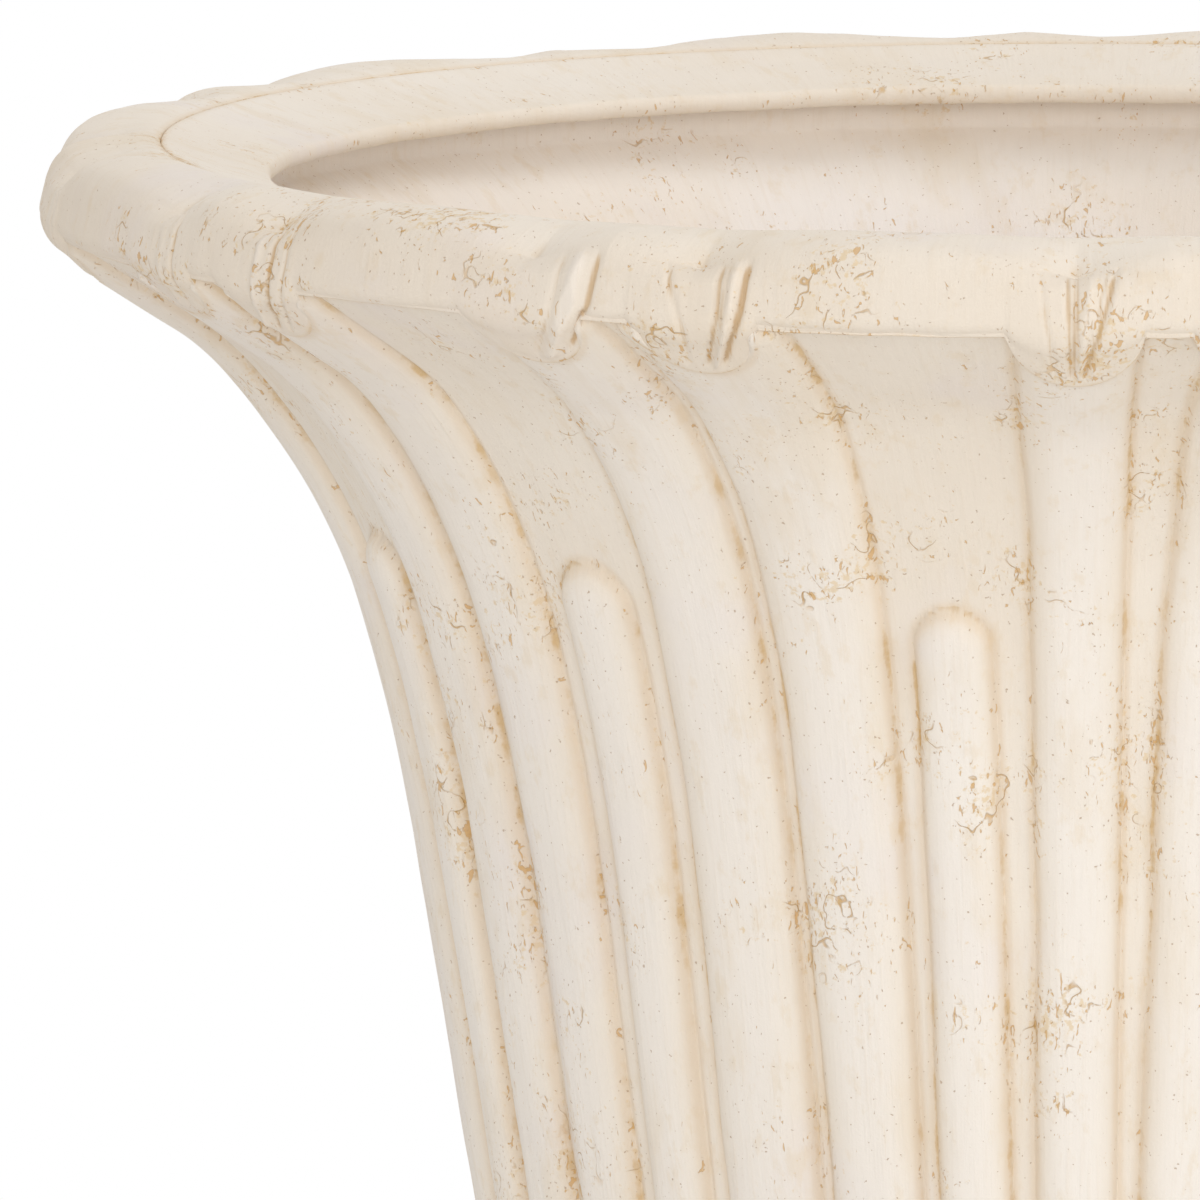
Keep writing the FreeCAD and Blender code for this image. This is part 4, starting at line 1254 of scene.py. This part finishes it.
# %% Rubber and zinc finishes
def rubber_finish():
    finish = Finish(bpy.data.materials.new("black_rubber"))
    place = finish.add("ShaderNodeTexCoord", output="Object")
    bloom = finish.noise(place, 90.0, 4.0, 0.6)
    grain = finish.noise(place, 2600.0, 2.0, 0.6)
    dust = finish.between(bloom, 0.42, 0.75)
    base = finish.blend(dust, colour(0.018, 0.018, 0.019), colour(0.055, 0.052, 0.048))
    return finish.surface(base, 0.52 + 0.3 * dust, (0.35, 0.4 * MM, grain + 0.5 * bloom))


def zinc_finish():
    finish = Finish(bpy.data.materials.new("zinc_steel"))
    place = finish.add("ShaderNodeTexCoord", output="Object")
    spangle = finish.add("ShaderNodeTexVoronoi", None, {"Vector": place, "Scale": 420.0})
    cloud = finish.noise(place, 160.0, 3.0, 0.6)
    upright = finish.vector_math("MULTIPLY", place, (1.0, 1.0, 0.12))
    scratch = finish.noise(upright, 2600.0, 2.0, 0.5)
    dull = finish.between(cloud + 0.3 * spangle, 0.40, 0.85)
    base = finish.blend(dull, colour(0.66, 0.67, 0.68), colour(0.50, 0.51, 0.52))
    bump = (0.25, 0.3 * MM, scratch + 0.6 * cloud)
    return finish.surface(base, 0.30 + 0.25 * dull, bump, Metallic=1.0)


rubber, zinc = rubber_finish(), zinc_finish()

# %% [markdown]
# ## Small turned parts
# Washers, plugs and pads are turned: a thread of vertices follows the outline and is spun
# round the part's own axis.

# %% Spin small parts
def spun(outline, counts, centre=(0.0, 0.0), steps=64, into=None):
    """Spin an outline about an upright axis into a closed form."""
    bm = into or bmesh.new()
    radius, height, _ = outline.at(outline.stations(counts))
    thread = [bm.verts.new((centre[0] + r, centre[1], z))
              for r, z in zip(radius.tolist(), height.tolist())]
    edges = [bm.edges.new(pair) for pair in zip(thread, thread[1:])]
    bmesh.ops.spin(bm, geom=thread + edges, cent=(*centre, 0), axis=(0, 0, 1),
                   angle=math.tau, steps=steps, use_merge=True)
    bmesh.ops.remove_doubles(bm, verts=bm.verts, dist=1e-6)
    bmesh.ops.recalc_face_normals(bm, faces=bm.faces)
    return bm


def ring_outline(inner, outer, base, top, edge):
    """A flat ring with round edges, drawn from its lower inner corner."""
    outline = Outline(inner + edge, base, 0)
    for run, heading in ((outer - inner, -90), (top - base, -180), (outer - inner, -270),
                         (top - base, -360)):
        outline.line(run - 2 * edge).arc(edge, heading)
    return outline


RING_STEPS = (3, 5, 1, 5, 3, 5, 1, 5)


def ring_piece(name, node, finish, inner, edge):
    low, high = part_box(node)
    outline = ring_outline(inner, high.x - 0.1 * MM, low.z, high.z, edge)
    return make_piece(name, spun(outline, RING_STEPS, steps=96), "urn", finish, [node])


ring_piece("gasket_ring", "joint_gasket", rubber, 36 * MM, 0.9 * MM)
ring_piece("seal_ring", "bolt_seal", rubber, BOLT_HOLE, 1.2 * MM)
ring_piece("top_washer_ring", "upper_washer", zinc, BOLT_HOLE, 0.35 * MM)
ring_piece("under_washer_ring", "lower_washer", zinc, BOLT_HOLE, 0.35 * MM)

# %% Plugs and pads
def plug_outline(low, high):
    """From the axis at the foot of the plug, up its grooved shank to the round knob."""
    outline = Outline(0.0, low, 0).line(5.6 * MM).arc(1.5 * MM, -90).line(5 * MM)
    for groove in range(2):
        outline.arc(0.9 * MM, -135).arc(0.9 * MM, -45).arc(0.9 * MM, -90).line(2.0 * MM)
    flange = high - 15 * MM
    outline.line(flange - outline.state[1]).corner(0).line(11 * MM - outline.state[0] - 1.2 * MM)
    outline.arc(1.2 * MM, -90).line(0.4 * MM).arc(1.2 * MM, -170)
    outline.line(outline.state[0] - 4.6 * MM).arc(1.6 * MM, -90).line(4.0 * MM)
    outline.arc(2.0 * MM, -50).arc(1.2 * MM, -90).line(1.6 * MM).arc(2.2 * MM, -180)
    return outline.line(outline.state[0])


PLUG_STEPS = (4, 5, 3) + (3, 4, 3, 2) * 2 + (2, 4, 5, 1, 5, 5, 5, 2, 4, 4, 2, 6, 3)
for index, angle in enumerate(DRAIN_ANGLES, start=1):
    low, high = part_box(f"drain_plug_{index}")
    bm = spun(plug_outline(low.z, high.z), PLUG_STEPS, drain_place(angle))
    make_piece(f"plug_{index}_rubber", bm, f"plug_{index}", rubber,
               [f"drain_plug_{index}"])

PAD_RADIUS, PAD_REACH = 17 * MM, 112 * MM
pads = bmesh.new()
for across in (-PAD_REACH, PAD_REACH):
    for forward in (-PAD_REACH, PAD_REACH):
        outline = Outline(0.0, 0.0, 0).line(PAD_RADIUS - 1.0 * MM).arc(1.0 * MM, -90)
        outline.line(1.2 * MM).arc(0.8 * MM, -180).line(PAD_RADIUS - 0.8 * MM)
        spun(outline, (4, 4, 1, 4, 4), (across, forward), 48, pads)
make_piece("rubber_pads", pads, "urn", rubber, ["foot_pads"])

# %% [markdown]
# ## Bolt and wing nut
# A hexagon head is a turned form pressed in to six flats: the cone that the turning leaves
# on its top is the real head's chamfer.  The thread is a turned tail whose radius rises and
# falls once a pitch along a helix.

# %% Bolt
BOLT_RADIUS, HEAD_FLAT = 5 * MM, 8.5 * MM
HEAD_HEIGHT = 6.4 * MM
PITCH, THREAD_DEPTH = 1.5 * MM, 0.55 * MM


def bolt():
    low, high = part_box("tie_bolt")
    corner = HEAD_FLAT / math.cos(math.radians(30))
    chamfer = math.tan(math.radians(30))
    bm = spun(Outline(0, high.z, 0).line(HEAD_FLAT - 0.4 * MM)
              .corner(30).line((corner - HEAD_FLAT + 0.4 * MM) / math.cos(math.radians(30)))
              .corner(90).line(HEAD_HEIGHT - (corner - HEAD_FLAT + 0.4 * MM) * chamfer)
              .corner(180).line(corner), (5, 3, 4, 4), steps=96)
    for vertex in bm.verts:
        turn = math.degrees(math.atan2(vertex.co.y, vertex.co.x)) % 60 - 30
        limit = HEAD_FLAT / math.cos(math.radians(turn))
        out = vertex.co.xy.length
        if out > limit:
            vertex.co.xy *= limit / out
            if vertex.co.z > high.z - 1.5 * MM:
                vertex.co.z = high.z - max(0.0, limit - HEAD_FLAT + 0.4 * MM) * chamfer
    shank = spun(Outline(0, low.z, 0).line(3.6 * MM).corner(-45).line(1.9 * MM).corner(-90)
                 .line(24 * MM), (3, 3, 96), steps=48)
    for vertex in shank.verts:
        out = vertex.co.xy.length
        if out > 3.5 * MM and vertex.co.z > low.z + 0.4 * MM:
            turn = math.atan2(vertex.co.y, vertex.co.x) / math.tau
            phase = ((vertex.co.z - low.z) / PITCH - turn) % 1.0
            cut = THREAD_DEPTH * abs(2 * phase - 1)
            vertex.co.xy *= (out - 0.05 * MM - cut) / out
    whole = bpy.data.meshes.new("shank")
    shank.to_mesh(whole)
    shank.free()
    bm.from_mesh(whole)
    bpy.data.meshes.remove(whole)
    return bm


make_piece("bolt", bolt(), "urn", zinc, ["tie_bolt"])

# %% [markdown]
# The wing nut hangs under the foot's ceiling on the end of the bolt.  Its hub is turned and
# its two ears are plates with a soft edge, cast in one with it.

# %% Wing nut
def wing_nut():
    low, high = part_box("wing_nut")
    hub_base = high.z - 10 * MM
    outline = Outline(BOLT_RADIUS, hub_base, 0).line(2.2 * MM).arc(1.0 * MM, -80).line(7.4 * MM)
    outline.arc(0.8 * MM, -180).line(outline.state[0] - BOLT_RADIUS)
    outline.corner(90).line(outline.state[1] - hub_base)
    bm = spun(outline, (3, 4, 4, 4, 3, 4), steps=64)
    ear = [(6.2, 8.5), (9.0, 8.0), (14.0, 4.2), (19.0, 2.4), (22.4, 1.0), (23.6, -1.2),
           (23.4, -3.6), (21.4, -5.6), (18.2, -5.9), (14.6, -3.6), (11.0, 0.2), (8.0, 2.0),
           (6.2, 2.4)]
    for side in (1, -1):
        ring = [bm.verts.new((side * x * MM, -1.7 * MM, hub_base + z * MM)) for x, z in ear]
        plate = bm.faces.new(ring)
        made = bmesh.ops.extrude_face_region(bm, geom=[plate])["geom"]
        top = verts_of(made)
        bmesh.ops.translate(bm, verts=top, vec=(0, 3.4 * MM, 0))
        edges = [edge for vertex in ring + top for edge in vertex.link_edges
                 if abs(edge.verts[0].co.y - edge.verts[1].co.y) < 1e-6]
        bmesh.ops.bevel(bm, geom=list(set(edges)), offset=1.0 * MM, segments=4, profile=0.5,
                        affect="EDGES", material=-1)
    bmesh.ops.recalc_face_normals(bm, faces=bm.faces)
    return bm


make_piece("nut_with_ears", wing_nut(), "urn", zinc, ["wing_nut"])

# %% Size of the visible model
low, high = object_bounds()
